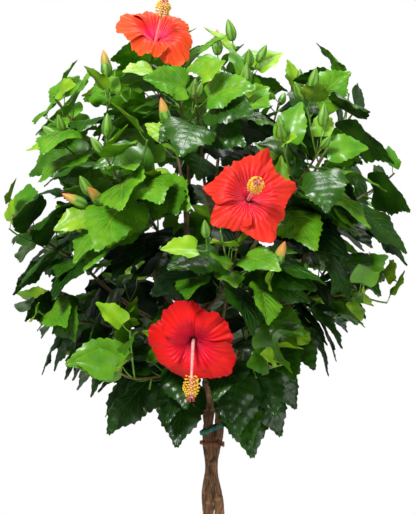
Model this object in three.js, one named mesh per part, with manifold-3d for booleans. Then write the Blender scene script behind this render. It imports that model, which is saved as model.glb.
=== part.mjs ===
// A hibiscus shrub grown as a standard: three stems plaited into one trunk, which parts into three
// leaders under a round crown of leafy shoots, with three open blooms and many closed buds.
// Millimetres, +Z up, origin at the middle of the flat cut at ground level. Bearings are degrees
// about the trunk, anticlockwise seen from above: 0 is +X, 90 the back (+Y), 270 the front (-Y).
import * as THREE from 'three';
import { mergeVertices } from 'three/addons/utils/BufferGeometryUtils.js';
import Module from 'manifold-3d';

// ---------------------------------------------------------------- driving dimensions
const GAP = 0.3;                                  // clearance between pieces that touch
const FORK_HEIGHT = 478;                          // where the three plaited stems part
const STEM_RADIUS = { foot: 8.4, top: 6.8 };
const BRAID = { pitch: 420, width: 11.6, depth: 9, level: 380, neckEvery: 150, neckAt: 350,
  neckLength: 34, neckWidth: 3, neckDepth: 13 };
const FLARE = { height: 62, spread: 5, stemGrowth: 4.2, collarRadius: 20, collarTop: 12 };
const FORK = { blendFrom: 425, spread: 11, bearings: [140, 10, 255] };
// The trunk is made from a little below ground, then cut flat.
const TRUNK = { sides: 6, steps: 24, collarSides: 12, below: 20 };

const LEADERS = [
  { name: 'leader_back', stem: 0, bearing: 118, reach: 62, height: 606, lift: 72 },
  { name: 'leader_right', stem: 1, bearing: 356, reach: 104, height: 578, lift: 50 },
  { name: 'leader_front', stem: 2, bearing: 238, reach: 66, height: 604, lift: 74 },
];
const LEADER_RADIUS = { foot: 5.8, tip: 4.4 };
const BOUGH_RADIUS = { foot: 4.2, tip: 2.4 };
const BOUGH = { startLift: 10, startShare: 0.4, endUpturn: 0.15 };   // how boughs leave and arrive

// One mass of foliage a row: where its middle is, how much room it takes, how steeply its leading
// shoot rises, and from which leader, and how far along it, its bough leaves.
const MASSES = [
  { name: 'low_front_left', bearing: 234, reach: 138, height: 500, size: 104, lift: 8, from: [2, 0.22] },
  { name: 'low_left', bearing: 184, reach: 196, height: 572, size: 104, lift: 12, from: [2, 0.34] },
  { name: 'low_back_left', bearing: 132, reach: 178, height: 570, size: 104, lift: 12, from: [0, 0.52] },
  { name: 'low_back_right', bearing: 58, reach: 170, height: 584, size: 104, lift: 12, from: [0, 0.34] },
  { name: 'low_right', bearing: 350, reach: 168, height: 612, size: 104, lift: 14, from: [1, 0.88] },
  { name: 'low_front_right', bearing: 296, reach: 124, height: 514, size: 98, lift: 8, from: [1, 0.64] },
  { name: 'mid_left', bearing: 188, reach: 238, height: 686, size: 100, lift: 38, from: [2, 0.46] },
  { name: 'mid_front_left', bearing: 230, reach: 170, height: 752, size: 104, lift: 45, from: [2, 1] },
  { name: 'mid_front', bearing: 279, reach: 172, height: 650, size: 94, lift: 42, from: [2, 0.1] },
  { name: 'mid_front_right', bearing: 311, reach: 172, height: 768, size: 100, lift: 45, from: [2, 0.76] },
  { name: 'mid_right', bearing: 0, reach: 222, height: 758, size: 100, lift: 38, from: [1, 1] },
  { name: 'mid_back_right', bearing: 45, reach: 216, height: 716, size: 106, lift: 40, from: [0, 0.22] },
  { name: 'mid_back', bearing: 92, reach: 200, height: 640, size: 104, lift: 30, from: [0, 0.1] },
  { name: 'mid_back_left', bearing: 138, reach: 216, height: 724, size: 106, lift: 40, from: [2, 0.88] },
  { name: 'high_front', bearing: 262, reach: 128, height: 846, size: 94, lift: 56, from: [1, 0.76] },
  { name: 'top_left', bearing: 193, reach: 196, height: 852, size: 102, lift: 55, from: [2, 0.58] },
  { name: 'top_front', bearing: 232, reach: 84, height: 914, size: 96, lift: 72, from: [0, 0.88] },
  { name: 'top_middle', bearing: 30, reach: 26, height: 886, size: 96, lift: 78, from: [0, 0.64] },
  { name: 'top_right', bearing: 352, reach: 196, height: 862, size: 102, lift: 58, from: [1, 0.28] },
  { name: 'top_back_left', bearing: 122, reach: 136, height: 884, size: 104, lift: 62, from: [0, 1] },
  { name: 'top_back_right', bearing: 56, reach: 146, height: 832, size: 104, lift: 60, from: [0, 0.76] },
];
const SHOOT = { radius: 2.5, tipRadius: 1.3, footShare: 0.72, tipShare: 0.86, upturn: 0.35, sides: 3,
  leadSteps: 3, sideSteps: 2 };
const SIDE_SHOOTS = { count: 4, angle: 54, length: 0.92, radius: 1.25, first: 0.04, last: 0.74, upturn: 0.4,
  shortest: 30, turnByMass: 67 };
const FLOWER_SHOOT = { from: 0.3, radius: 1.55, tipRadius: 1.6, youth: 0.25 };
const LEAF = { mature: 110, young: 50, petiole: 0.3, spacing: 19.6, halfWidth: 0.36, thickness: 0.022,
  petioleRadius: 1.2, dish: 0.05, outward: 0.85, forward: 0.55, upward: 0.25, bend: [0.7, 1.9] };
// How far leaves hang: those of low masses, whose shoots rise less than lowLift, hang the most.
const HANG = { low: 0.95, high: 0.62, young: 0.12, lowLift: 20 };
const YOUTH = { from: 0.35, power: 1.6 };         // leaves grow younger from this share of a shoot
const LIGHT = { outward: 0.75, upward: 0.75, young: 0.7 };           // where a blade's face turns
// How far seeded numbers move things: turns and angles in degrees, lengths and sizes as shares.
const SCATTER = { sideTurn: 25, sideAngle: 8, sideLength: [0.8, 1.1], leafTurn: 20, leafRoll: 40,
  leafSize: [0.85, 1.12], budCount: 0.4, budTurn: 120, budSize: [0.62, 1.1] };
const BUD = { stalk: 30, length: 33, radius: 7, perTip: 2.2, first: 0.97, apart: 0.12, outward: 0.45,
  upward: 0.35, widest: 0.36, core: 3 };           // no leaf comes near a bud's core
const BLOOMS = [
  { name: 'bloom_top', mass: 'top_front', throat: [-79, -70, 995], facing: [0.19, -0.70, 0.69],
    radius: 62, roll: 18, column: 54, columnFall: 0 },
  { name: 'bloom_middle', mass: 'mid_front_right', throat: [52, -215, 755], facing: [0.12, -0.95, 0.27],
    radius: 66, roll: 6, column: 64, columnFall: 0 },
  { name: 'bloom_low', mass: 'low_front_left', throat: [-27, -205, 550], facing: [-0.05, -0.93, -0.30],
    radius: 64, roll: 36, column: 74, columnFall: 52 },
];
const BLOOM = { tube: 26, calyx: 20, calyxRadius: 7.6, pedicel: 44, pedicelRise: 0.3,
  stalkRadii: [1.6, 2], columnRadius: 2, headRadius: 9, petalThickness: 2.2, lobeDepth: 0.2,
  ruffle: 0.07, segments: 20, clearBehind: 22, clearFront: 150 };
const PETAL_ROWS = [{ at: 0.16, rise: -0.16 }, { at: 0.6, rise: 0.05 }, { at: 1, rise: -0.06 }];
// The crown is an ellipsoid over a cone: under it, leaves start higher the further out they are.
const CROWN = { middle: [-5, 0, 690], radii: [309, 300, 352] };
const SKIRT = { height: 225, slope: 1.22, lean: 0.2 };
const SPACE = { overreach: 1.5, floor: 323, leafApart: 8, limbClear: 5.5, stalkClear: 2.5, shootClear: 4,
  ownWood: 4, ownStalk: 1.5, trunkFoot: 22, trunkTop: 20 };
const GOLDEN_ANGLE = 137.5;
const TIES = [
  { name: 'tape_tie', height: 408, width: 4.4, thickness: 1, tilt: 20, corners: 12, colour: '#0f6b5c',
    knot: -20, tailRadius: 2.4, tails: [[9, -3, 16], [12, -4, -21]] },
  { name: 'wire_tie', height: 386, width: 1.6, thickness: 1.6, tilt: -5, corners: 10, colour: '#8a4a26',
    knot: -30, tailRadius: 0.9, tails: [[7, -3, -5]] },
];
const TIE_CLEARANCE = 0.9;

const COLOURS = { bark: '#7a5a3c', greenBark: '#5d6a2e', leaf: '#2f7a1e', petal: '#e2231a' };

// ---------------------------------------------------------------- small helpers
const UP = new THREE.Vector3(0, 0, 1);
const radians = THREE.MathUtils.degToRad;
const lerp = THREE.MathUtils.lerp;
const vector = (x, y, z) => new THREE.Vector3(x, y, z);
const along = (point, direction, distance) => point.clone().addScaledVector(direction, distance);
const polar = (bearing, reach, height) =>
  vector(reach * Math.cos(radians(bearing)), reach * Math.sin(radians(bearing)), height);
const mix = (a, b, share) => a.clone().lerp(b, share);

// A repeatable stream of numbers, from 0 to 1.
class Seeded {
  constructor(seed) {
    this.state = seed >>> 0;
    this.next();
  }

  next() {
    this.state = (Math.imul(this.state, 1664525) + 1013904223) >>> 0;
    return this.state / 4294967296;
  }

  between(low, high) {
    return low + (high - low) * this.next();
  }
}

// A closed skin over rings of equally many points, listed from foot to tip and anticlockwise seen
// from the tip. A first or last ring of one point closes to that point, others with a flat cut.
function skin(rings) {
  const count = rings[1].length;
  const faces = [];
  let low = 0;
  for (let i = 2; i < rings[0].length; i++) faces.push(0, i, i - 1);
  for (let ring = 0; ring < rings.length - 1; ring++) {
    const high = low + rings[ring].length;
    for (let i = 0; i < count; i++) {
      const j = (i + 1) % count;
      if (rings[ring].length === 1) faces.push(low, high + j, high + i);
      else if (rings[ring + 1].length === 1) faces.push(low + i, low + j, high);
      else faces.push(low + i, low + j, high + j, low + i, high + j, high + i);
    }
    low = high;
  }
  for (let i = 2; i < rings.at(-1).length; i++) faces.push(low, low + i - 1, low + i);
  return new THREE.BufferGeometry().setFromPoints(rings.flat()).setIndex(faces);
}

// A limb's radius at any share of its length, tapering evenly.
const taper = (foot, tip) => (share) => lerp(foot, tip, share);

// A round limb along a curve, its radius given by a function of the share, with a flat cut at each end.
function limb(curve, radiusAt, sides, steps) {
  const frames = curve.computeFrenetFrames(steps, false);
  const rings = [];
  for (let step = 0; step <= steps; step++) {
    const share = step / steps;
    const centre = curve.getPointAt(share);
    rings.push(ringAround(centre, frames.normals[step], frames.binormals[step], radiusAt(share), sides));
  }
  return skin(rings);
}

function ringAround(centre, across, over, radius, sides) {
  return Array.from({ length: sides }, (_, side) => {
    const angle = (2 * Math.PI * side) / sides;
    return centre.clone().addScaledVector(across, radius * Math.cos(angle))
      .addScaledVector(over, radius * Math.sin(angle));
  });
}

// ---------------------------------------------------------------- solids
const wasm = await Module();
wasm.setup();

function solid(geometry) {
  const bare = geometry.clone();
  bare.deleteAttribute('normal');
  bare.deleteAttribute('uv');
  const merged = mergeVertices(bare, 1e-4);
  return new wasm.Manifold(new wasm.Mesh({
    numProp: 3,
    vertProperties: new Float32Array(merged.attributes.position.array),
    triVerts: new Uint32Array(merged.index.array),
  }));
}

// The joined pieces as one body: loose scraps and sealed hollows are dropped.
function joined(pieces) {
  return largest(wasm.Manifold.union(pieces.map(solid)));
}

function largest(whole) {
  return whole.decompose().reduce((most, body) => (body.volume() > most.volume() ? body : most));
}

function meshOf(body, name, material) {
  const { vertProperties, triVerts } = body.getMesh();
  const geometry = new THREE.BufferGeometry();
  geometry.setAttribute('position', new THREE.BufferAttribute(vertProperties, 3));
  geometry.setIndex(new THREE.BufferAttribute(triVerts, 1));
  geometry.computeVertexNormals();
  const mesh = new THREE.Mesh(geometry, material);
  mesh.name = name;
  return mesh;
}

const material = (colour, roughness) =>
  new THREE.MeshStandardMaterial({ color: colour, roughness, metalness: 0 });
const bark = material(COLOURS.bark, 0.85);
const greenBark = material(COLOURS.greenBark, 0.7);
const foliage = material(COLOURS.leaf, 0.4);
const petals = material(COLOURS.petal, 0.55);

// ---------------------------------------------------------------- trunk
// One of the three plaited stems. Across the trunk it swings as a sine and through it as a sine of
// twice the angle, a third of a turn after its neighbour; at each neck the plait draws in.
class PlaitedStem extends THREE.Curve {
  constructor(index, low) {
    super();
    this.index = index;
    this.low = low;
  }

  getPoint(share, target = vector(0, 0, 0)) {
    const z = lerp(this.low, FORK_HEIGHT, share);
    const turn = (2 * Math.PI * (BRAID.level - z)) / BRAID.pitch + (2 * Math.PI * this.index) / 3;
    const toNeck = (z - BRAID.neckAt) / BRAID.neckEvery;
    const fromNeck = (toNeck - Math.round(toNeck)) * BRAID.neckEvery;
    const neck = Math.exp(-((fromNeck / BRAID.neckLength) ** 2));
    const flare = FLARE.spread * Math.max(0, 1 - z / FLARE.height) ** 2;
    const width = lerp(BRAID.width, BRAID.neckWidth, neck) + flare;
    const depth = lerp(BRAID.depth, BRAID.neckDepth, neck) + flare;
    const parting = THREE.MathUtils.smoothstep(z, FORK.blendFrom, FORK_HEIGHT);
    const plaited = vector(width * Math.sin(turn), -depth * Math.sin(2 * turn), z);
    return target.copy(plaited.lerp(polar(FORK.bearings[this.index], FORK.spread, z), parting));
  }
}

function stemRadius(share) {
  const z = lerp(-TRUNK.below, FORK_HEIGHT, share);
  const flare = FLARE.stemGrowth * Math.max(0, 1 - z / FLARE.height) ** 2;
  return lerp(STEM_RADIUS.foot, STEM_RADIUS.top, z / FORK_HEIGHT) + flare;
}

function makeTrunk() {
  const below = -TRUNK.below;
  const stems = FORK.bearings.map((_, index) =>
    limb(new PlaitedStem(index, below), stemRadius, TRUNK.sides, TRUNK.steps));
  const collar = new THREE.LatheGeometry([
    new THREE.Vector2(0, below), new THREE.Vector2(FLARE.collarRadius, below),
    new THREE.Vector2(FLARE.collarRadius, 0), new THREE.Vector2(FLARE.collarTop, FLARE.height * 0.5),
    new THREE.Vector2(0, FLARE.height),
  ], TRUNK.collarSides).rotateX(Math.PI / 2);
  const ground = new THREE.BoxGeometry(200, 200, 100).translate(0, 0, -50);
  return joined([...stems, collar]).subtract(solid(ground));
}

// ---------------------------------------------------------------- leaders and boughs
function bezier(from, leaving, to, arriving, bend = 0.36) {
  const length = from.distanceTo(to);
  return new THREE.CubicBezierCurve3(from, along(from, leaving, bend * length),
    along(to, arriving, -bend * length), to);
}

function rising(bearing, lift) {
  return polar(bearing, Math.cos(radians(lift)), Math.sin(radians(lift)));
}

const leaders = LEADERS.map((row) => {
  const stem = new PlaitedStem(row.stem, 0);
  const start = along(stem.getPoint(1), stem.getTangent(1), GAP);
  const curve = bezier(start, stem.getTangent(1), polar(row.bearing, row.reach, row.height),
    rising(row.bearing, row.lift));
  return { ...row, curve, radii: [LEADER_RADIUS.foot, LEADER_RADIUS.tip] };
});

const masses = MASSES.map((row, index) => {
  const centre = polar(row.bearing, row.reach, row.height);
  const heading = rising(row.bearing, row.lift);
  const foot = along(centre, heading, -SHOOT.footShare * row.size);
  return { ...row, index, centre, heading, foot };
});

// Each mass's bough leaves its leader, or goes on from the leader's tip, and ends at the mass's foot.
const boughs = masses.map((mass) => {
  const [number, share] = mass.from;
  const leader = leaders[number];
  const onTip = share === 1;
  const tangent = leader.curve.getTangentAt(share);
  const start = leader.curve.getPointAt(share);
  if (onTip) start.addScaledVector(tangent, GAP);
  const towards = mass.foot.clone().sub(start).normalize();
  const level = rising(mass.bearing, BOUGH.startLift);
  const leaving = onTip ? tangent : mix(towards, level, BOUGH.startShare).normalize();
  const curve = bezier(start, leaving, mass.foot, mix(mass.heading, UP, BOUGH.endUpturn).normalize());
  const foot = onTip ? LEADER_RADIUS.tip : BOUGH_RADIUS.foot;
  return { name: `bough_${mass.name}`, mass, leader, onTip, curve, radii: [foot, BOUGH_RADIUS.tip] };
});

const LEADER_SIDES = 7;
const LEADER_STEPS = 4;
const BOUGH_SIDES = 5;
const BOUGH_STEP = 44;
const boughSteps = (curve) => Math.max(3, Math.round(curve.getLength() / BOUGH_STEP));

// A leader, grown all round by `extra` where it cuts a bough.
function makeLeader(leader, extra = 0) {
  const [foot, tip] = leader.radii;
  return solid(limb(leader.curve, taper(foot + extra, tip + extra), LEADER_SIDES, LEADER_STEPS));
}

function makeBough(bough) {
  const whole = solid(limb(bough.curve, taper(...bough.radii), BOUGH_SIDES, boughSteps(bough.curve)));
  return bough.onTip ? whole : largest(whole.subtract(makeLeader(bough.leader, GAP)));
}

// ---------------------------------------------------------------- what a leaf keeps clear of
// Every limb as straight stretches with a radius at each end.
function stretches(curve, [foot, tip], steps) {
  const points = curve.getSpacedPoints(steps);
  const radiusAt = (i) => lerp(foot, tip, i / steps);
  return points.slice(1).map((end, i) => ({
    start: points[i], end, startRadius: radiusAt(i), endRadius: radiusAt(i + 1),
  }));
}

function distanceTo({ start, end, startRadius, endRadius }, point) {
  const line = end.clone().sub(start);
  const share = THREE.MathUtils.clamp(point.clone().sub(start).dot(line) / line.lengthSq(), 0, 1);
  return point.distanceTo(along(start, line, share)) - lerp(startRadius, endRadius, share);
}

const woodStretches = [
  ...leaders.flatMap((leader) => stretches(leader.curve, leader.radii, LEADER_STEPS)),
  ...boughs.flatMap((bough) => stretches(bough.curve, bough.radii, boughSteps(bough.curve))
    .map((piece) => ({ ...piece, mass: bough.mass.index }))),
  { start: vector(0, 0, 0), end: vector(0, 0, FORK_HEIGHT), startRadius: SPACE.trunkFoot,
    endRadius: SPACE.trunkTop },
];

const pedicelDirection = (bloom) => mix(bloom.facing, UP, BLOOM.pedicelRise).normalize();

const blooms = BLOOMS.map((row) => {
  const facing = vector(...row.facing).normalize();
  const throat = vector(...row.throat);
  const calyxFoot = along(throat, facing, -BLOOM.tube - BLOOM.calyx * 0.6);
  const foot = along(calyxFoot, pedicelDirection({ facing }), -BLOOM.pedicel);
  return { ...row, facing, throat, calyxFoot, foot, mass: masses.find((mass) => mass.name === row.mass) };
});

// How far a point is outside a bloom and the clear air before it; negative is inside.
function outsideBloom(bloom, point) {
  const offset = point.clone().sub(bloom.throat);
  const forward = offset.dot(bloom.facing);
  const sideways = Math.sqrt(Math.max(0, offset.lengthSq() - forward * forward));
  const overPetals = Math.max(sideways - bloom.radius, forward - BLOOM.clearFront,
    -forward - BLOOM.clearBehind + Math.max(0, sideways - 20) * 0.2);
  const stalk = distanceTo({ start: bloom.foot, end: bloom.throat, startRadius: 2, endRadius: 12 }, point);
  return Math.min(overPetals, stalk);
}

function inCrown(point) {
  const [x, y, z] = point.toArray().map((value, i) => (value - CROWN.middle[i]) / CROWN.radii[i]);
  const skirt = SKIRT.height + SKIRT.slope * Math.hypot(point.x, point.y) + SKIRT.lean * point.x;
  return x * x + y * y + z * z < 1 && point.z > skirt;
}

// A mass's space is every point that is nearer to its middle than to any other, sizes allowed for.
function inSpace(mass, point) {
  if (point.z < SPACE.floor || !inCrown(point)) return false;
  if (point.distanceTo(mass.centre) > SPACE.overreach * mass.size) return false;
  const own = point.distanceToSquared(mass.centre) - mass.size ** 2;
  return masses.every((other) => {
    if (other === mass) return true;
    const theirs = point.distanceToSquared(other.centre) - other.size ** 2;
    return (theirs - own) / (2 * mass.centre.distanceTo(other.centre)) > GAP;
  });
}

function isClear(mass, point, clearance) {
  return inSpace(mass, point)
    && blooms.every((bloom) => outsideBloom(bloom, point) > clearance)
    && woodStretches.every((piece) => piece.mass === mass.index || distanceTo(piece, point) > clearance);
}

// ---------------------------------------------------------------- shoots, leaves and buds
// How much of a path a shoot can follow, in straight chords, and stay clear.
function cutToSpace(mass, path, steps) {
  for (let share = 1; share > 0.2; share -= 1 / 16) {
    const chords = stretches(new PartOfCurve(path, share), [0, 0], steps);
    const points = chords.flatMap(({ start, end }) => [0.25, 0.5, 0.75, 1].map((at) => mix(start, end, at)));
    if (points.every((point) => isClear(mass, point, SPACE.shootClear))) return share;
  }
  return 0;
}

class PartOfCurve extends THREE.Curve {
  constructor(whole, share) {
    super();
    this.whole = whole;
    this.share = share;
  }

  getPoint(share, target = vector(0, 0, 0)) {
    return target.copy(this.whole.getPointAt(Math.min(1, share * this.share)));
  }
}

// The frame across a direction: one axis level, the other over it.
function acrossFrame(direction) {
  const level = new THREE.Vector3().crossVectors(UP, direction);
  if (level.lengthSq() < 1e-6) level.set(1, 0, 0);
  level.normalize();
  return [level, new THREE.Vector3().crossVectors(direction, level).normalize()];
}

function around(direction, azimuth) {
  const [level, over] = acrossFrame(direction);
  return level.multiplyScalar(Math.cos(radians(azimuth))).addScaledVector(over, Math.sin(radians(azimuth)));
}

// A shoot as its solid has it: straight stretches between points of its curve.
function shootAlong(curve, radii, steps) {
  return { curve, radii, steps, stretches: stretches(curve, radii, steps) };
}

function pointOn(shoot, share) {
  const spot = share * shoot.steps;
  const i = Math.min(shoot.steps - 1, Math.floor(spot));
  return mix(shoot.stretches[i].start, shoot.stretches[i].end, spot - i);
}

function growShoots(mass, random) {
  const start = along(mass.foot, boughs[mass.index].curve.getTangentAt(1), GAP);
  const tip = along(mass.centre, mass.heading, SHOOT.tipShare * mass.size);
  const whole = bezier(start, boughs[mass.index].curve.getTangentAt(1), tip,
    mix(mass.heading, UP, SHOOT.upturn).normalize());
  const leadShare = cutToSpace(mass, whole, SHOOT.leadSteps);
  const radii = [SHOOT.radius, SHOOT.tipRadius];
  const lead = shootAlong(new PartOfCurve(whole, leadShare), radii, SHOOT.leadSteps);
  const shoots = [lead];
  for (let i = 0; i < SIDE_SHOOTS.count; i++) {
    const share = lerp(SIDE_SHOOTS.first, SIDE_SHOOTS.last, i / (SIDE_SHOOTS.count - 1));
    const tangent = lead.curve.getTangentAt(share);
    const turn = GOLDEN_ANGLE * i + random.between(-SCATTER.sideTurn, SCATTER.sideTurn);
    const side = around(tangent, turn + mass.index * SIDE_SHOOTS.turnByMass);
    const angle = radians(SIDE_SHOOTS.angle + random.between(-SCATTER.sideAngle, SCATTER.sideAngle));
    const leaving = tangent.clone().multiplyScalar(Math.cos(angle)).addScaledVector(side, Math.sin(angle));
    const from = pointOn(lead, share);
    const reach = mass.size * SIDE_SHOOTS.length * random.between(...SCATTER.sideLength);
    const upturned = mix(leaving, UP, SIDE_SHOOTS.upturn).normalize();
    const path = bezier(from, leaving, along(from, mix(leaving, upturned, 0.5).normalize(), reach), upturned);
    const kept = cutToSpace(mass, path, SHOOT.sideSteps);
    if (kept * path.getLength() < SIDE_SHOOTS.shortest) continue;
    const sideRadii = [SIDE_SHOOTS.radius, SHOOT.tipRadius];
    shoots.push(shootAlong(new PartOfCurve(path, kept), sideRadii, SHOOT.sideSteps));
  }
  return shoots;
}

// The shoot that carries a bloom, ending a gap short of the bloom's foot.
function growFlowerShoot(lead, bloom) {
  const arriving = pedicelDirection(bloom);
  const end = along(bloom.foot, arriving, -GAP);
  const share = FLOWER_SHOOT.from;
  const path = bezier(pointOn(lead, share), lead.curve.getTangentAt(share), end, arriving, 0.3);
  const radii = [FLOWER_SHOOT.radius, FLOWER_SHOOT.tipRadius];
  return { ...shootAlong(path, radii, SHOOT.leadSteps), flowering: true };
}

// A leaf: a thin stalk, then a blade whose edges and keel follow a drooping midrib.
const BLADE = [{ at: 0.26, width: 1 }, { at: 0.62, width: 0.72 }];
const SMALL_BLADE = [{ at: 0.34, width: 1 }];
const BLADE_BENDS_FROM = 82;

function leafAt(mass, shoot, share, azimuth, length, youth, roll) {
  const tangent = shoot.curve.getTangentAt(share);
  const node = pointOn(shoot, share);
  const spread = around(tangent, azimuth);
  const stalkDirection = spread.multiplyScalar(LEAF.outward).addScaledVector(tangent, LEAF.forward)
    .addScaledVector(UP, LEAF.upward).normalize();
  const hang = lerp(mass.lift < HANG.lowLift ? HANG.low : HANG.high, HANG.young, youth);
  const [leaving, ending] = LEAF.bend.map((bend) =>
    stalkDirection.clone().addScaledVector(UP, -hang * bend).normalize());
  const outward = polar(mass.bearing, LIGHT.outward, LIGHT.upward);
  const light = mix(outward, tangent, youth * LIGHT.young);
  const base = along(node, stalkDirection, length * LEAF.petiole);
  const midrib = [];
  const point = base.clone();
  const pieces = 6;
  for (let i = 0; i <= pieces; i++) {
    const direction = mix(leaving, ending, i / pieces).normalize();
    midrib.push({ point: point.clone(), direction });
    point.addScaledVector(direction, length / pieces);
  }
  const frameAt = (at) => {
    const spot = at * pieces;
    const i = Math.min(pieces - 1, Math.floor(spot));
    const centre = mix(midrib[i].point, midrib[i + 1].point, spot - i);
    const direction = mix(midrib[i].direction, midrib[i + 1].direction, spot - i).normalize();
    const face = light.clone().addScaledVector(direction, -light.dot(direction)).normalize();
    face.applyAxisAngle(direction, roll);
    return { centre, direction, face, side: new THREE.Vector3().crossVectors(direction, face) };
  };
  return { mass, node, base, stalkDirection, tangent, length, youth, frameAt };
}

// The blade's cross rows from its base to its tip: left edge, keel, right edge.
function bladeRows(leaf) {
  const first = leaf.frameAt(0);
  const row = ({ centre, side, face }, half, deep, raised) => [
    along(centre, side, half).addScaledVector(face, raised),
    along(centre, face, -deep),
    along(centre, side, -half).addScaledVector(face, raised),
  ];
  const rows = (leaf.length < BLADE_BENDS_FROM ? SMALL_BLADE : BLADE).map(({ at, width }) => {
    const half = width * LEAF.halfWidth * leaf.length;
    return row(leaf.frameAt(at), half, LEAF.thickness * leaf.length, half * LEAF.dish);
  });
  const tip = leaf.frameAt(1).centre;
  const base = row({ ...first, centre: leaf.base }, LEAF.petioleRadius, LEAF.petioleRadius, 0);
  return [base, ...rows, [tip, tip, tip]];
}

// Points all over the blade, between its rows and across them.
function bladeSamples(rows) {
  return rows.slice(1).flatMap((row, i) => [1 / 3, 2 / 3, 1].flatMap((share) => {
    const [left, keel, right] = row.map((corner, side) => mix(rows[i][side], corner, share));
    return [left, mix(left, keel, 0.5), keel, mix(keel, right, 0.5), right];
  }));
}

function leafFits(leaf, grown) {
  const rows = bladeRows(leaf);
  const blade = bladeSamples(rows);
  const stalk = [0.15, 0.4, 0.6, 0.8, 1].map((share) => mix(leaf.node, leaf.base, share));
  if (!stalk.every((point) => isClear(leaf.mass, point, SPACE.stalkClear))) return false;
  if (!blade.every((point) => isClear(leaf.mass, point, SPACE.limbClear))) return false;
  const ownWood = grown.shoots.flatMap((shoot) => shoot.stretches).concat(grown.budStretches);
  if (blade.some((point) => ownWood.some((piece) => distanceTo(piece, point) < SPACE.ownWood))) return false;
  const free = stalk.slice(2);
  if (free.some((point) => ownWood.some((piece) => distanceTo(piece, point) < SPACE.ownStalk))) return false;
  const middle = leaf.frameAt(0.4).centre;
  for (const other of grown.leaves) {
    if (other.middle.distanceTo(middle) > other.length + leaf.length) continue;
    const near = SPACE.leafApart * (leaf.youth > 0.5 && other.youth > 0.5 ? 0.6 : 1);
    const tooNear = (here, there, least) => here.some((a) => there.some((b) => a.distanceTo(b) < least));
    if (tooNear(blade, other.blade, near) || tooNear(free, other.blade, near * 0.7)
      || tooNear(blade, other.free, near * 0.7)) return false;
  }
  Object.assign(leaf, { rows, blade, free, middle });
  return true;
}

const TURNS = [0, 38, -38, 76, -76, 120, -120, 180];
const SHRINKS = [1, 0.86, 0.72];

function growLeaves(mass, shoot, random, grown) {
  const length = shoot.curve.getLength();
  const nodes = Math.max(2, Math.round(length / LEAF.spacing));
  for (let i = 1; i <= nodes; i++) {
    const share = i / nodes;
    const late = Math.max(0, (share - YOUTH.from) / (1 - YOUTH.from)) ** YOUTH.power;
    const youth = shoot.flowering ? FLOWER_SHOOT.youth : late;
    const size = lerp(LEAF.mature, LEAF.young, youth) * random.between(...SCATTER.leafSize);
    const azimuth = i * GOLDEN_ANGLE + random.between(-SCATTER.leafTurn, SCATTER.leafTurn);
    const roll = radians(random.between(-SCATTER.leafRoll, SCATTER.leafRoll));
    placeLeaf(mass, shoot, Math.min(0.985, share), azimuth, size, youth, roll, grown);
  }
}

function placeLeaf(mass, shoot, share, azimuth, size, youth, roll, grown) {
  for (const shrink of SHRINKS) {
    for (const turn of TURNS) {
      const leaf = leafAt(mass, shoot, share, azimuth + turn, size * shrink, youth, roll);
      if (leafFits(leaf, grown)) {
        grown.leaves.push(leaf);
        return;
      }
    }
  }
}

function growBuds(mass, shoot, random, grown) {
  if (shoot.flowering) return;
  if (mass.lift < HANG.lowLift) return;
  const count = Math.round(random.between(SCATTER.budCount, BUD.perTip + SCATTER.budCount));
  for (let i = 0; i < count; i++) {
    const share = BUD.first - BUD.apart * i;
    const tangent = shoot.curve.getTangentAt(share);
    const side = around(tangent, 180 * i + random.between(0, SCATTER.budTurn));
    const direction = tangent.clone().addScaledVector(side, BUD.outward)
      .addScaledVector(UP, BUD.upward).normalize();
    const size = random.between(...SCATTER.budSize);
    const node = pointOn(shoot, share);
    const base = along(node, direction, BUD.stalk * size);
    const tip = along(base, direction, BUD.length * size);
    if ([base, mix(base, tip, 0.5), tip].every((point) => isClear(mass, point, BUD.radius * size + 1))) {
      grown.buds.push({ node, base, tip, direction, size });
      grown.budStretches.push({ start: base, end: tip, startRadius: BUD.core, endRadius: BUD.core },
        { start: mix(node, base, 0.4), end: base, startRadius: 1, endRadius: 1 });
    }
  }
}

function leafSolid(leaf) {
  return skin([[leaf.node], ...leaf.rows.slice(0, -1), [leaf.rows.at(-1)[0]]]);
}

function budSolid({ node, base, tip, direction, size }) {
  const [level, over] = acrossFrame(direction);
  const ring = (centre, radius) => ringAround(centre, level, over, radius, 4);
  return skin([[node], ring(base, 1.1), ring(mix(base, tip, BUD.widest), BUD.radius * size), [tip]]);
}

function growMass(mass) {
  const random = new Seeded(7919 * (mass.index + 1) + 11);
  const grown = { mass, shoots: growShoots(mass, random), leaves: [], buds: [], budStretches: [] };
  const bloom = blooms.find((flower) => flower.mass === mass);
  if (bloom) grown.shoots.push(growFlowerShoot(grown.shoots[0], bloom));
  for (const shoot of grown.shoots) growBuds(mass, shoot, random, grown);
  for (const shoot of grown.shoots) growLeaves(mass, shoot, random, grown);
  return grown;
}

function makeMass(grown) {
  const shoots = grown.shoots.map((shoot) =>
    limb(shoot.curve, taper(...shoot.radii), SHOOT.sides, shoot.steps));
  return joined([...shoots, ...grown.leaves.map(leafSolid), ...grown.buds.map(budSolid)]);
}

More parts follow.
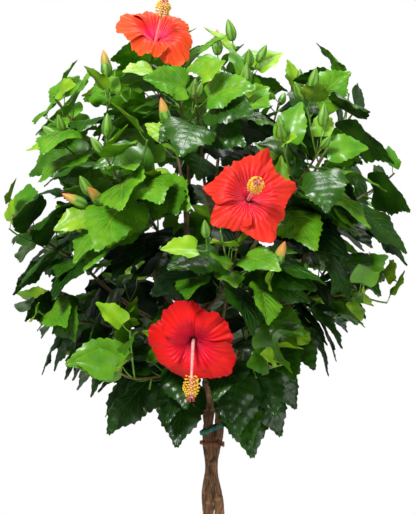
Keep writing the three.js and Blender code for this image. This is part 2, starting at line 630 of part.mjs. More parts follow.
// ---------------------------------------------------------------- blooms
// The open corolla: rings of a lobed funnel, doubled a petal's thickness behind.
function corolla(bloom) {
  const [level, over] = acrossFrame(bloom.facing);
  const place = ({ at, rise }, turn, back) => {
    const notch = 1 - Math.abs(Math.cos(2.5 * turn)) ** 0.7;
    const reach = bloom.radius * at * (1 - BLOOM.lobeDepth * at * notch);
    const wave = at === 1 ? BLOOM.ruffle * Math.cos(5 * turn) : 0;
    const angle = turn + radians(bloom.roll);
    return bloom.throat.clone().addScaledVector(level, reach * Math.cos(angle))
      .addScaledVector(over, reach * Math.sin(angle))
      .addScaledVector(bloom.facing, (rise + wave) * bloom.radius - back);
  };
  const ring = (row, back) => Array.from({ length: BLOOM.segments }, (_, i) =>
    place(row, (2 * Math.PI * i) / BLOOM.segments, back));
  const tubeFoot = along(bloom.throat, bloom.facing, -BLOOM.tube);
  const front = PETAL_ROWS.map((row) => ring(row, 0));
  const rear = PETAL_ROWS.map((row) => ring(row, BLOOM.petalThickness)).reverse();
  const tube = (share) => front[0].map((point) => mix(point, tubeFoot, share));
  return skin([tube(0.55), ...front, ...rear, tube(0.9)].reverse());
}

function column(bloom) {
  const end = along(bloom.throat, bloom.facing, bloom.column - bloom.columnFall * 0.55);
  end.addScaledVector(UP, -bloom.columnFall);
  const start = along(bloom.throat, bloom.facing, -BLOOM.tube * 0.8);
  const curve = bezier(start, bloom.facing, end, end.clone().sub(bloom.throat).normalize(), 0.3);
  const head = new THREE.IcosahedronGeometry(BLOOM.headRadius, 0).scale(1, 1, 1.15);
  head.translate(...along(end, curve.getTangentAt(1), -2).toArray());
  return [limb(curve, taper(BLOOM.columnRadius * 1.4, BLOOM.columnRadius), 4, 4), head];
}

function calyxAndStalk(bloom) {
  const [level, over] = acrossFrame(bloom.facing);
  const ring = (distance, radius) =>
    ringAround(along(bloom.calyxFoot, bloom.facing, distance), level, over, radius, 6);
  const cup = skin([ring(0, 3), ring(5, BLOOM.calyxRadius), ring(BLOOM.calyx, BLOOM.calyxRadius),
    ring(BLOOM.tube + 6, BLOOM.calyxRadius + 1.4)]);
  const end = along(bloom.calyxFoot, bloom.facing, 2);
  const stalk = bezier(bloom.foot, pedicelDirection(bloom), end, bloom.facing, 0.3);
  return [cup, limb(stalk, taper(...BLOOM.stalkRadii), 4, 3)];
}

function makeBloom(bloom) {
  return joined([corolla(bloom), ...column(bloom), ...calyxAndStalk(bloom)]);
}

// ---------------------------------------------------------------- ties
const plaitedStems = FORK.bearings.map((_, index) => new PlaitedStem(index, 0));

// How far the plait reaches in a level direction, over a little more than a tie's height.
function plaitReach(direction, height) {
  const shares = [-5, 0, 5].map((step) => (height + step) / FORK_HEIGHT);
  const reaches = plaitedStems.flatMap((stem) => shares.map((share) => stem.getPoint(share).dot(direction)));
  return Math.max(...reaches) + lerp(STEM_RADIUS.foot, STEM_RADIUS.top, height / FORK_HEIGHT);
}

// A band drawn round the plait, tilted up to the right, with a tail that stands out at the right.
function makeTie(tie) {
  const placeAt = (angle, clearance) => {
    const out = vector(Math.cos(angle), Math.sin(angle), 0);
    const level = plaitReach(out, tie.height) + clearance;
    const reach = plaitReach(out, tie.height + level * out.x * Math.tan(radians(tie.tilt))) + clearance;
    return vector(reach * out.x, reach * out.y, tie.height + reach * out.x * Math.tan(radians(tie.tilt)));
  };
  const rings = Array.from({ length: tie.corners }, (_, i) => {
    const angle = (2 * Math.PI * i) / tie.corners;
    const [inner, outer] = [placeAt(angle, TIE_CLEARANCE), placeAt(angle, TIE_CLEARANCE + tie.thickness)];
    return [along(inner, UP, -tie.width / 2), along(outer, UP, -tie.width / 2),
      along(outer, UP, tie.width / 2), along(inner, UP, tie.width / 2)];
  });
  const knot = placeAt(radians(tie.knot), TIE_CLEARANCE + tie.thickness / 2);
  const tails = tie.tails.map((tail) => {
    const end = knot.clone().add(vector(...tail));
    const path = bezier(knot, polar(tie.knot, 1, 0), end, vector(0, 0, Math.sign(tail[2])));
    return limb(path, taper(tie.tailRadius, tie.tailRadius * 0.6), 4, 3);
  });
  return joined([closedLoop(rings), ...tails]);
}

function closedLoop(rings) {
  const count = rings[0].length;
  const faces = [];
  rings.forEach((_, r) => {
    const next = ((r + 1) % rings.length) * count;
    for (let i = 0; i < count; i++) {
      const j = (i + 1) % count;
      faces.push(r * count + i, next + j, r * count + j, r * count + i, next + i, next + j);
    }
  });
  return new THREE.BufferGeometry().setFromPoints(rings.flat()).setIndex(faces);
}

// ---------------------------------------------------------------- the plant
const plant = new THREE.Group();
plant.add(meshOf(makeTrunk(), 'trunk', bark));
for (const leader of leaders) plant.add(meshOf(makeLeader(leader), leader.name, bark));
for (const bough of boughs) plant.add(meshOf(makeBough(bough), bough.name, greenBark));
const grownMasses = masses.map(growMass);
for (const grown of grownMasses) plant.add(meshOf(makeMass(grown), `mass_${grown.mass.name}`, foliage));
for (const bloom of blooms) plant.add(meshOf(makeBloom(bloom), bloom.name, petals));
for (const tie of TIES) plant.add(meshOf(makeTie(tie), tie.name, material(tie.colour, 0.5)));

export default plant;
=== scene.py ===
"""A hibiscus shrub grown as a standard: a plaited trunk, boughs, leafy twigs, buds and open blooms.

The limbs grow again from the dimensions and seeds of the solid model, and are carried on to finer twigs.
Plant lengths are millimetres and become metres where a mesh is made. Bearings are degrees about the
trunk, anticlockwise seen from above: 0 is +X, 90 the back (+Y), 270 the front (-Y).
"""
import functools
import math

import bpy
import numpy as np
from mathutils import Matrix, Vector


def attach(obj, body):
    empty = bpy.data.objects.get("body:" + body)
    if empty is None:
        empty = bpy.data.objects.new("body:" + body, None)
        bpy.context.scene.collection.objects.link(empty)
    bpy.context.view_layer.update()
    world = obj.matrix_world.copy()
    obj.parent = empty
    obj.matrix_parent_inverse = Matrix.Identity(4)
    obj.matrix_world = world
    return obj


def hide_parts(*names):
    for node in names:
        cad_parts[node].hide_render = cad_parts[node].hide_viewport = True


bl_info = {
    "name": "Hibiscus shrub",
    "version": (1, 0, 0),
    "blender": (4, 5, 0),
    "location": "View3D > Sidebar > Shrub",
    "description": "Grows a flowering hibiscus standard over its solid model",
    "category": "Object",
}

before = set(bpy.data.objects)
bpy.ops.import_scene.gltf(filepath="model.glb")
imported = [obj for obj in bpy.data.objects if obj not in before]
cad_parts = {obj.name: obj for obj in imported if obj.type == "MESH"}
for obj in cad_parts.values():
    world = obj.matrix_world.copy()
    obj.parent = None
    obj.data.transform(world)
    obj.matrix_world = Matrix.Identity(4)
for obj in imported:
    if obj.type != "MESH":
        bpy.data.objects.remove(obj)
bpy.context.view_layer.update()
MM = 0.001

# ---------------------------------------------------------------- driving dimensions, as in the solids
GAP = 0.3
FORK_HEIGHT = 478
STEM_RADIUS = {"foot": 8.4, "top": 6.8}
BRAID = {"pitch": 420, "width": 11.6, "depth": 9, "level": 380, "neck_every": 150, "neck_at": 350,
         "neck_length": 34, "neck_width": 3, "neck_depth": 13}
FLARE = {"height": 62, "spread": 5, "stem_growth": 4.2, "collar_radius": 20}
FORK = {"blend_from": 425, "spread": 11, "bearings": (140, 10, 255)}
LEADERS = [  # stem, bearing, reach, height, lift
    (0, 118, 62, 606, 72), (1, 356, 104, 578, 50), (2, 238, 66, 604, 74),
]
TRUNK_SKIN = {"sides": 40, "depth": 0.55, "step": 1.3, "leader_step": 1.6}
BOUGH_SKIN = {"sides": 20, "depth": 0.28, "step": 1.8, "first_seed": 11}
LEADER_RADIUS = (5.8, 4.4)
BOUGH_RADIUS = (4.2, 2.4)
BOUGH = {"start_lift": 10, "start_share": 0.4, "end_upturn": 0.15}
MASSES = [  # name, bearing, reach, height, size, lift, leader, share along it
    ("low_front_left", 234, 138, 500, 104, 8, 2, 0.22),
    ("low_left", 184, 196, 572, 104, 12, 2, 0.34),
    ("low_back_left", 132, 178, 570, 104, 12, 0, 0.52),
    ("low_back_right", 58, 170, 584, 104, 12, 0, 0.34),
    ("low_right", 350, 168, 612, 104, 14, 1, 0.88),
    ("low_front_right", 296, 124, 514, 98, 8, 1, 0.64),
    ("mid_left", 188, 238, 686, 100, 38, 2, 0.46),
    ("mid_front_left", 230, 170, 752, 104, 45, 2, 1),
    ("mid_front", 279, 172, 650, 94, 42, 2, 0.1),
    ("mid_front_right", 311, 172, 768, 100, 45, 2, 0.76),
    ("mid_right", 0, 222, 758, 100, 38, 1, 1),
    ("mid_back_right", 45, 216, 716, 106, 40, 0, 0.22),
    ("mid_back", 92, 200, 640, 104, 30, 0, 0.1),
    ("mid_back_left", 138, 216, 724, 106, 40, 2, 0.88),
    ("high_front", 262, 128, 846, 94, 56, 1, 0.76),
    ("top_left", 193, 196, 852, 102, 55, 2, 0.58),
    ("top_front", 232, 84, 914, 96, 72, 0, 0.88),
    ("top_middle", 30, 26, 886, 96, 78, 0, 0.64),
    ("top_right", 352, 196, 862, 102, 58, 1, 0.28),
    ("top_back_left", 122, 136, 884, 104, 62, 0, 1),
    ("top_back_right", 56, 146, 832, 104, 60, 0, 0.76),
]
SHOOT = {"radius": 2.5, "tip_radius": 1.3, "foot_share": 0.72, "tip_share": 0.86, "upturn": 0.35,
         "lead_steps": 3, "side_steps": 2}
SIDE_SHOOTS = {"count": 4, "angle": 54, "length": 0.92, "radius": 1.25, "first": 0.04, "last": 0.74,
               "upturn": 0.4, "shortest": 30, "turn_by_mass": 67, "tip_radius": SHOOT["tip_radius"]}
FLOWER_SHOOT = {"from": 0.3, "radius": 1.55, "tip_radius": 1.6, "youth": 0.25}
LEAF = {"petiole": 0.3, "half_width": 0.38, "thickness": 0.012, "petiole_radius": 1.0,
        "outward": 0.85, "forward": 0.55, "upward": 0.25, "bend": (0.7, 1.9), "last": 0.985}
HANG = {"low": 0.95, "high": 0.62, "young": 0.12, "low_lift": 20}
YOUTH = {"from": 0.35, "power": 1.6}
LIGHT = {"outward": 0.75, "upward": 0.75, "young": 0.7}
SCATTER = {"side_turn": 25, "side_angle": 8, "side_length": (0.8, 1.1), "leaf_turn": 20, "leaf_roll": 40,
           "leaf_size": (0.85, 1.12), "bud_count": 0.4, "bud_turn": 120, "bud_size": (0.62, 1.1)}
BUD = {"stalk": 30, "length": 33, "radius": 7, "per_tip": 2.2, "first": 0.97, "apart": 0.12, "outward": 0.45,
       "upward": 0.35, "core": 3, "stalk_from": 0.4, "stalk_core": 1, "clear": 1}
BLOOMS = [
    {"name": "bloom_top", "mass": "top_front", "throat": (-79, -70, 995), "facing": (0.19, -0.70, 0.69),
     "radius": 62, "roll": 18, "column": 54, "fall": 0},
    {"name": "bloom_middle", "mass": "mid_front_right", "throat": (52, -215, 755),
     "facing": (0.12, -0.95, 0.27), "radius": 66, "roll": 6, "column": 64, "fall": 0},
    {"name": "bloom_low", "mass": "low_front_left", "throat": (-27, -205, 550),
     "facing": (-0.05, -0.93, -0.30), "radius": 64, "roll": 36, "column": 74, "fall": 52},
]
BLOOM = {"tube": 26, "calyx": 20, "calyx_radius": 7.6, "pedicel": 44, "pedicel_rise": 0.3,
         "column_radius": 2.0, "head_radius": 9, "clear_behind": 22, "clear_front": 150, "near": 70,
         "behind_from": 20, "behind_slope": 0.2, "stalk_space": (2.0, 12.0)}
CROWN = {"middle": (-5, 0, 690), "radii": (309, 300, 352)}
SKIRT = {"height": 225, "slope": 1.22, "lean": 0.2}
SPACE = {"overreach": 1.5, "floor": 323, "leaf_apart": 8, "limb_clear": 5.5, "stalk_clear": 2.5,
         "shoot_clear": 4, "own_wood": 4, "own_stalk": 1.5, "trunk_foot": 22, "trunk_top": 20,
         "closer": 0.7, "cut_steps": 16, "least_kept": 0.2}
GOLDEN_ANGLE = 137.5
TURNS = (0, 38, -38, 76, -76, 120, -120, 180)
SHRINKS = (1, 0.86, 0.72)
TAPE_TIE = {"height": 408, "tilt": 20, "knot": -20, "width": 4.4, "thickness": 0.6, "knot_out": 2.0,
            "knot_radius": 3.1, "tail_half": (2.2, 3.8), "tails": ((9, -3, 16), (12, -4, -21), (7, -5, 8)),
            "layers": ((0.55, -1.2), (1.25, 1.0))}    # how far out each layer lies, and its rise
WIRE_TIE = {"height": 386, "tilt": -5, "knot": -30, "out": 0.7, "radius": 0.75, "rises": (-1.7, 0.0, 1.6),
            "knot_out": 0.8, "twist": 8, "coil": 0.85, "turns": 14, "end_radius": 0.7}
TIE_CLEARANCE = 0.9

# What the fine growth adds to the solids' growth.
FINE = {"count": 2, "angle": 48, "length": 62, "radius": 0.95, "tip_radius": 0.6, "shortest": 18,
        "leaf": 0.95, "spacing": 20, "leaf_apart": 7, "bough_from": 0.4, "within": 0.64,
        "first": 0.55, "share_by": 0.1, "turn_by": 90, "angle_by": 10, "length_by": (0.7, 1.2)}
SEEDS = {"solid": (7919, 11), "fine": (104729, 7)}    # a factor for each mass, and what is added
SPRAYS = {"mass": 100, "twigs": 20, "bough": 99}      # numbers that tell one spray of leaves from another
EVERYWHERE = 9                                        # a depth past the crown's outside
SHOOT_END = {"least": 0.25, "samples": 31, "near": 2, "past": 0.02}

UP = np.array([0.0, 0.0, 1.0])


# ---------------------------------------------------------------- small helpers
def linear(hex_colour):
    """An sRGB hex colour as linear red, green, blue and alpha."""
    values = [int(hex_colour[i:i + 2], 16) / 255 for i in (1, 3, 5)]
    return (*[v / 12.92 if v <= 0.04045 else ((v + 0.055) / 1.055) ** 2.4 for v in values], 1.0)


def vec(*values):
    """A point or direction as an array."""
    return np.array(values, dtype=float)


def unit(v):
    return v / np.linalg.norm(v, axis=-1, keepdims=True)


def lerp(a, b, share):
    return a + (b - a) * share


def smooth(x, low, high):
    """A soft step, 3t2 - 2t3, that rises from 0 at low to 1 at high."""
    t = np.clip((x - low) / (high - low), 0, 1)
    return t * t * (3 - 2 * t)


def polar(bearing, reach, height):
    """A point at a level reach from the trunk's axis on a bearing, at a height."""
    return vec(reach * math.cos(math.radians(bearing)), reach * math.sin(math.radians(bearing)), height)


def rising(bearing, lift):
    """The direction on a bearing that rises by an angle over the level."""
    return polar(bearing, math.cos(math.radians(lift)), math.sin(math.radians(lift)))


def across_frame(direction):
    """Two axes across each direction: one level, the other over it."""
    level = np.cross(UP, direction)
    level = unit(np.where(np.sum(level ** 2, axis=-1, keepdims=True) < 1e-6, vec(1, 0, 0), level))
    return level, unit(np.cross(direction, level))


def around(direction, azimuth):
    """The direction square to another, turned about it by an azimuth in degrees."""
    level, over = across_frame(direction)
    return level * math.cos(math.radians(azimuth)) + over * math.sin(math.radians(azimuth))


def spokes(direction, turn):
    """Directions square to another at an array of turns: the cosine of the level axis and the sine of the
    other."""
    level, over = across_frame(direction)
    return level * np.cos(turn)[..., None] + over * np.sin(turn)[..., None]


def even_turns(count):
    """Even turns once round, in radians."""
    return 2 * np.pi * np.arange(count) / count


def steps_along(count):
    """Shares from 0 to 1, shaped to carry one point of each copy along a path."""
    return np.linspace(0, 1, count)[None, :, None]


class Seeded:
    """A repeatable stream of numbers, the same as the solids are grown with."""

    def __init__(self, seed):
        self.state = seed & 0xFFFFFFFF
        self.next()

    def next(self):
        self.state = (self.state * 1664525 + 1013904223) & 0xFFFFFFFF
        return self.state / 4294967296

    def between(self, low, high):
        return low + (high - low) * self.next()

    def about(self, by):
        return self.between(-by, by)


def random_share(point):
    """A number from 0 to 1 that a place always gives."""
    return float(np.mod(abs(np.sin(point @ vec(12.99, 78.23, 37.72))) * 4375.85, 1))


def noise(x, y, seed, turns=0):
    """Smooth value noise, 0 to 1, on a lattice of whole numbers; x repeats after `turns` cells if given."""
    def corner(i, j):
        i = np.mod(i, turns) if turns else i
        h = np.sin(i * 127.1 + j * 311.7 + seed * 74.7) * 43758.5453
        return h - np.floor(h)
    i, j = np.floor(x), np.floor(y)
    u, v = smooth(x - i, 0, 1), smooth(y - j, 0, 1)
    return lerp(lerp(corner(i, j), corner(i + 1, j), u), lerp(corner(i, j + 1), corner(i + 1, j + 1), u), v)


# ---------------------------------------------------------------- paths
class Path:
    """A curve given by a formula of t from 0 to 1, read at even shares of its length."""

    def __init__(self, formula, samples=200):
        self.formula = formula
        self.t = np.linspace(0, 1, samples + 1)
        steps = np.linalg.norm(np.diff(formula(self.t), axis=0), axis=1)
        self.reach = np.concatenate([[0], np.cumsum(steps)])
        self.length = self.reach[-1]

    def at(self, share):
        return self.formula(np.interp(np.asarray(share) * self.length, self.reach, self.t))

    def tangent(self, share):
        low, high = np.clip(np.asarray(share) - 1e-4, 0, 1), np.clip(np.asarray(share) + 1e-4, 0, 1)
        return unit(self.at(high) - self.at(low))


class PartOf(Path):
    """The first part of another path."""

    def __init__(self, whole, part):
        self.whole, self.part, self.length = whole, part, whole.length * part

    def at(self, share):
        return self.whole.at(np.asarray(share) * self.part)


def bezier(start, leaving, end, arriving, bend=0.36):
    """A cubic Bezier path whose handles are `bend` of the straight distance long."""
    reach = np.linalg.norm(end - start) * bend
    corners = (start, start + leaving * reach, end - arriving * reach, end)

    def formula(t):
        t = np.asarray(t)[..., None]
        weights = ((1 - t) ** 3, 3 * t * (1 - t) ** 2, 3 * t * t * (1 - t), t ** 3)
        return sum(w * c for w, c in zip(weights, corners))
    return Path(formula)


def plaited_stem(index, low=0.0):
    """One of three stems: a sine across the trunk and a sine of twice the angle through it, drawn in at
    each neck, spreading at the foot and parting at the fork."""
    def formula(t):
        z = lerp(low, FORK_HEIGHT, np.asarray(t))
        turn = 2 * np.pi * ((BRAID["level"] - z) / BRAID["pitch"] + index / 3)
        to_neck = (z - BRAID["neck_at"]) / BRAID["neck_every"]
        neck = np.exp(-((to_neck - np.round(to_neck)) * BRAID["neck_every"] / BRAID["neck_length"]) ** 2)
        flare = FLARE["spread"] * np.maximum(0, 1 - z / FLARE["height"]) ** 2
        width = lerp(BRAID["width"], BRAID["neck_width"], neck) + flare
        depth = lerp(BRAID["depth"], BRAID["neck_depth"], neck) + flare
        plaited = np.stack([width * np.sin(turn), -depth * np.sin(2 * turn), z], axis=-1)
        parted = polar(FORK["bearings"][index], FORK["spread"], 0) + z[..., None] * UP
        return lerp(plaited, parted, smooth(z, FORK["blend_from"], FORK_HEIGHT)[..., None])
    return Path(formula)


def stretches(path, radii, steps, mass=-1):
    """A limb as straight stretches: start, end, the radius at each, and the mass it belongs to."""
    shares = np.linspace(0, 1, steps + 1)
    points, thick = path.at(shares), lerp(*radii, shares)
    return (points[:-1], points[1:], thick[:-1], thick[1:], np.full(steps, mass))


def joined_stretches(several):
    """Several sets of stretches as one."""
    return tuple(np.concatenate(column) for column in zip(*several))


def gaps(points, wood):
    """How far each point is from each stretch's surface, as a table of points by stretches."""
    start, end, near, far = wood[:4]
    line = end - start
    offset = points[:, None] - start[None]
    share = np.clip(np.sum(offset * line, axis=2) / np.sum(line * line, axis=1), 0, 1)
    return np.linalg.norm(offset - share[..., None] * line, axis=2) - lerp(near, far, share)


# ---------------------------------------------------------------- limbs
def grow_leader(stem, bearing, reach, height, lift):
    """A leader goes on from its stem's end, a gap away, and bends out to its own bearing."""
    path = plaited_stem(stem)
    leaving = path.tangent(1.0)
    return bezier(path.at(1.0) + leaving * GAP, leaving, polar(bearing, reach, height), rising(bearing, lift))


def place_mass(index, row):
    """A mass's centre and heading, and its foot, where its bough ends."""
    mass = dict(zip(("name", "bearing", "reach", "height", "size", "lift", "leader", "along"), row))
    centre = polar(mass["bearing"], mass["reach"], mass["height"])
    heading = rising(mass["bearing"], mass["lift"])
    return {**mass, "index": index, "centre": centre, "heading": heading,
            "foot": centre - heading * SHOOT["foot_share"] * mass["size"]}


def grow_bough(mass):
    """The bough leaves its leader towards its mass, or goes on from the leader's tip."""
    leader = leaders[mass["leader"]]
    on_tip = mass["along"] == 1
    tangent, start = leader.tangent(float(mass["along"])), leader.at(float(mass["along"]))
    if on_tip:
        start = start + tangent * GAP
    towards = unit(mass["foot"] - start)
    level = rising(mass["bearing"], BOUGH["start_lift"])
    leaving = tangent if on_tip else unit(lerp(towards, level, BOUGH["start_share"]))
    path = bezier(start, leaving, mass["foot"], unit(lerp(mass["heading"], UP, BOUGH["end_upturn"])))
    foot = LEADER_RADIUS[1] if on_tip else BOUGH_RADIUS[0]
    return {"path": path, "mass": mass, "radii": (foot, BOUGH_RADIUS[1])}


def pedicel_direction(facing):
    """A bloom's stalk arrives between the way the bloom faces and upwards."""
    return unit(lerp(facing, UP, BLOOM["pedicel_rise"]))


def place_bloom(row):
    """A bloom's throat, and behind it the foot of its calyx and of its stalk."""
    facing, throat = unit(vec(*row["facing"])), vec(*row["throat"])
    calyx_foot = throat - facing * (BLOOM["tube"] + BLOOM["calyx"] * 0.6)
    return {**row, "facing": facing, "throat": throat, "calyx_foot": calyx_foot,
            "foot": calyx_foot - pedicel_direction(facing) * BLOOM["pedicel"]}


leaders = [grow_leader(*row) for row in LEADERS]
masses = [place_mass(index, row) for index, row in enumerate(MASSES)]
MASS_NODES = ["mass_" + mass["name"] for mass in masses]
boughs = [grow_bough(mass) for mass in masses]
blooms = [place_bloom(row) for row in BLOOMS]
wood = joined_stretches(
    [stretches(path, LEADER_RADIUS, 8) for path in leaders]
    + [stretches(bough["path"], bough["radii"], 12, bough["mass"]["index"]) for bough in boughs]
    + [(np.zeros((1, 3)), np.array([[0, 0, FORK_HEIGHT]]), np.array([SPACE["trunk_foot"]]),
        np.array([SPACE["trunk_top"]]), np.array([-1]))])


# ---------------------------------------------------------------- what the growth keeps clear of
def space_borders(mass):
    """The planes between a mass and the others near it: inward of all of them is its own space."""
    normals, offsets = [], []
    for other in masses:
        line = other["centre"] - mass["centre"]
        apart = np.linalg.norm(line)
        if 0 < apart < SPACE["overreach"] * mass["size"] + other["size"] + mass["size"]:
            middle = (apart ** 2 + mass["size"] ** 2 - other["size"] ** 2) / (2 * apart)
            normals.append(line / apart)
            offsets.append(mass["centre"] @ (line / apart) + middle - GAP)
    return np.array(normals), np.array(offsets)


def wood_near(mass):
    """The others' limbs that reach the space a mass may fill."""
    reach = SPACE["overreach"] * mass["size"]
    near = (wood[4] != mass["index"]) & (gaps(mass["centre"][None], wood)[0] < reach)
    return [column[near] for column in wood]


def blooms_near(mass):
    """The blooms whose petals, or the clear air before them, may reach the mass."""
    far = SPACE["overreach"] * mass["size"] + BLOOM["clear_front"] + BLOOM["near"]
    return [bloom for bloom in blooms if np.linalg.norm(bloom["throat"] - mass["centre"]) < far]


borders = [space_borders(mass) for mass in masses]
near_wood = [wood_near(mass) for mass in masses]
near_blooms = [blooms_near(mass) for mass in masses]


def outside_blooms(mass, points):
    """How far each point is outside every bloom near the mass, its stalk and the clear air before it."""
    nearest = np.full(len(points), 1e9)
    for bloom in near_blooms[mass["index"]]:
        offset = points - bloom["throat"]
        forward = offset @ bloom["facing"]
        sideways = np.sqrt(np.maximum(0, np.sum(offset ** 2, axis=1) - forward ** 2))
        slant = np.maximum(0, sideways - BLOOM["behind_from"]) * BLOOM["behind_slope"]
        behind = -forward - BLOOM["clear_behind"] + slant
        petals = np.maximum(np.maximum(sideways - bloom["radius"], forward - BLOOM["clear_front"]), behind)
        thick = [np.array([radius]) for radius in BLOOM["stalk_space"]]
        stalk = (bloom["foot"][None], bloom["throat"][None], *thick)
        nearest = np.minimum(nearest, np.minimum(petals, gaps(points, stalk)[:, 0]))
    return nearest


def in_space(mass, points):
    """Which points are in the mass's own space: in the crown and over the cone under it, near enough and
    inside every border."""
    under = SKIRT["height"] + SKIRT["slope"] * np.hypot(points[..., 0], points[..., 1])
    over_skirt = points[..., 2] > np.maximum(SPACE["floor"], under + SKIRT["lean"] * points[..., 0])
    near = np.sum((points - mass["centre"]) ** 2, axis=-1) < (SPACE["overreach"] * mass["size"]) ** 2
    inside = np.sum(((points - CROWN["middle"]) / CROWN["radii"]) ** 2, axis=-1) < 1
    normals, offsets = borders[mass["index"]]
    return near & inside & over_skirt & np.all(points @ normals.T < offsets, axis=-1)


def crown_depth(point):
    """0 in the middle of the crown, 1 at its outside."""
    return np.linalg.norm((point - np.array(CROWN["middle"])) / CROWN["radii"])


def room(mass, points):
    """How much air each point has to the others' limbs and to the blooms; none outside the space."""
    air = np.full(points.shape[:-1], -1.0)
    inside = in_space(mass, points)
    if inside.any():
        to_wood = gaps(points[inside], near_wood[mass["index"]]).min(axis=1, initial=1e9)
        air[inside] = np.minimum(to_wood, outside_blooms(mass, points[inside]))
    return air


# ---------------------------------------------------------------- shoots, leaves and buds
def shoot_along(path, radii, steps, **facts):
    """A shoot or twig on its path, with its wood as straight stretches and whatever else is told of it."""
    return {"path": path, "radii": radii, "wood": stretches(path, radii, steps),
            "flowering": False, "bough": False, **facts}


def cut_to_space(mass, path, steps):
    """How much of a path a shoot can follow, in straight chords, and stay clear."""
    for share in np.arange(1, SPACE["least_kept"], -1 / SPACE["cut_steps"]):
        start, end = stretches(PartOf(path, share), (0, 0), steps)[:2]
        points = np.concatenate([lerp(start, end, at) for at in (0.25, 0.5, 0.75, 1)])
        if room(mass, points).min() > SPACE["shoot_clear"]:
            return share
    return 0


def grow_shoots(mass, random):
    """The leading shoot goes on from the bough's tip, and side shoots turn round it by the golden angle."""
    leaving = boughs[mass["index"]]["path"].tangent(1.0)
    tip = mass["centre"] + mass["heading"] * SHOOT["tip_share"] * mass["size"]
    arriving = unit(lerp(mass["heading"], UP, SHOOT["upturn"]))
    whole = bezier(mass["foot"] + leaving * GAP, leaving, tip, arriving)
    kept = cut_to_space(mass, whole, SHOOT["lead_steps"])
    lead = shoot_along(PartOf(whole, kept), (SHOOT["radius"], SHOOT["tip_radius"]), SHOOT["lead_steps"])
    shoots = [lead]
    for i in range(SIDE_SHOOTS["count"]):
        share = lerp(SIDE_SHOOTS["first"], SIDE_SHOOTS["last"], i / (SIDE_SHOOTS["count"] - 1))
        turn = GOLDEN_ANGLE * i + random.about(SCATTER["side_turn"])
        angle = SIDE_SHOOTS["angle"] + random.about(SCATTER["side_angle"])
        length = mass["size"] * SIDE_SHOOTS["length"] * random.between(*SCATTER["side_length"])
        turn = turn + mass["index"] * SIDE_SHOOTS["turn_by_mass"]
        shoots += branch(mass, lead["path"], share, turn, angle, length, SIDE_SHOOTS)
    return shoots


def branch(mass, parent, share, turn, angle, length, rule):
    """A twig that leaves its parent at an angle and turns upwards, cut where it stops being clear."""
    tangent, start, angle = parent.tangent(share), parent.at(share), math.radians(angle)
    direction = tangent * math.cos(angle) + around(tangent, turn) * math.sin(angle)
    upturned = unit(lerp(direction, UP, SIDE_SHOOTS["upturn"]))
    path = bezier(start, direction, start + unit(lerp(direction, upturned, 0.5)) * length, upturned)
    kept = cut_to_space(mass, path, SHOOT["side_steps"])
    if kept * path.length < rule["shortest"]:
        return []
    return [shoot_along(PartOf(path, kept), (rule["radius"], rule["tip_radius"]), SHOOT["side_steps"])]


def grow_flower_shoot(lead, bloom):
    """The shoot that leaves the leading one low down and carries a bloom's stalk."""
    arriving = pedicel_direction(bloom["facing"])
    start, leaving = lead["path"].at(FLOWER_SHOOT["from"]), lead["path"].tangent(FLOWER_SHOOT["from"])
    path = bezier(start, leaving, bloom["foot"] - arriving * GAP, arriving, 0.3)
    radii = FLOWER_SHOOT["radius"], FLOWER_SHOOT["tip_radius"]
    return shoot_along(path, radii, SHOOT["lead_steps"], flowering=True)


def grow_fine_twigs(mass, shoots, random):
    """Two short twigs off each shoot, on different sides of it, but none at the crown's open edge."""
    made = []
    for shoot in shoots:
        for i in range(FINE["count"]):
            share = (i + FINE["first"]) / FINE["count"] + random.about(FINE["share_by"])
            if crown_depth(shoot["path"].at(share)) > FINE["within"]:
                continue
            turn = GOLDEN_ANGLE * i + random.between(0, FINE["turn_by"])
            angle = FINE["angle"] + random.about(FINE["angle_by"])
            length = FINE["length"] * random.between(*FINE["length_by"])
            made += branch(mass, shoot["path"], share, turn, angle, length, FINE)
    return made


def blade_frames(leaves, u):
    """The midrib of each leaf and the axes across it at even steps u: it bends from one direction to
    another, and its face turns to the light, rolled a little."""
    direction = unit(lerp(leaves["leaving"][:, None], leaves["ending"][:, None], u[None, :, None]))
    step = (direction[:, 1:] + direction[:, :-1]) / 2 * (leaves["length"] * (u[1] - u[0]))[:, None, None]
    run = np.concatenate([np.zeros_like(step[:, :1]), np.cumsum(step, axis=1)], axis=1)
    light = leaves["light"][:, None]
    flat = unit(light - np.sum(light * direction, axis=2, keepdims=True) * direction)
    roll = leaves["roll"][:, None, None]
    face = flat * np.cos(roll) + np.cross(direction, flat) * np.sin(roll)
    return leaves["base"][:, None] + run, direction, face, np.cross(direction, face)


def blade_shape(u):
    """Half the width along the leaf, 0 to 1: a round base, widest at a quarter, and a long drawn-out tip."""
    return np.sin(np.pi * np.clip(u, 0, 1) ** 0.52) ** 0.7 * (1 - 0.46 * smooth(u, 0.5, 0.93))


SAMPLE_U = np.linspace(0, 1, 13)
SAMPLE_ROWS = np.array([1, 3, 5, 7, 9, 11, 12])
SAMPLE_ACROSS = np.array([-1, -0.5, 0, 0.5, 1])
STALK_SHARES = np.array([0.15, 0.4, 0.6, 0.8, 1])


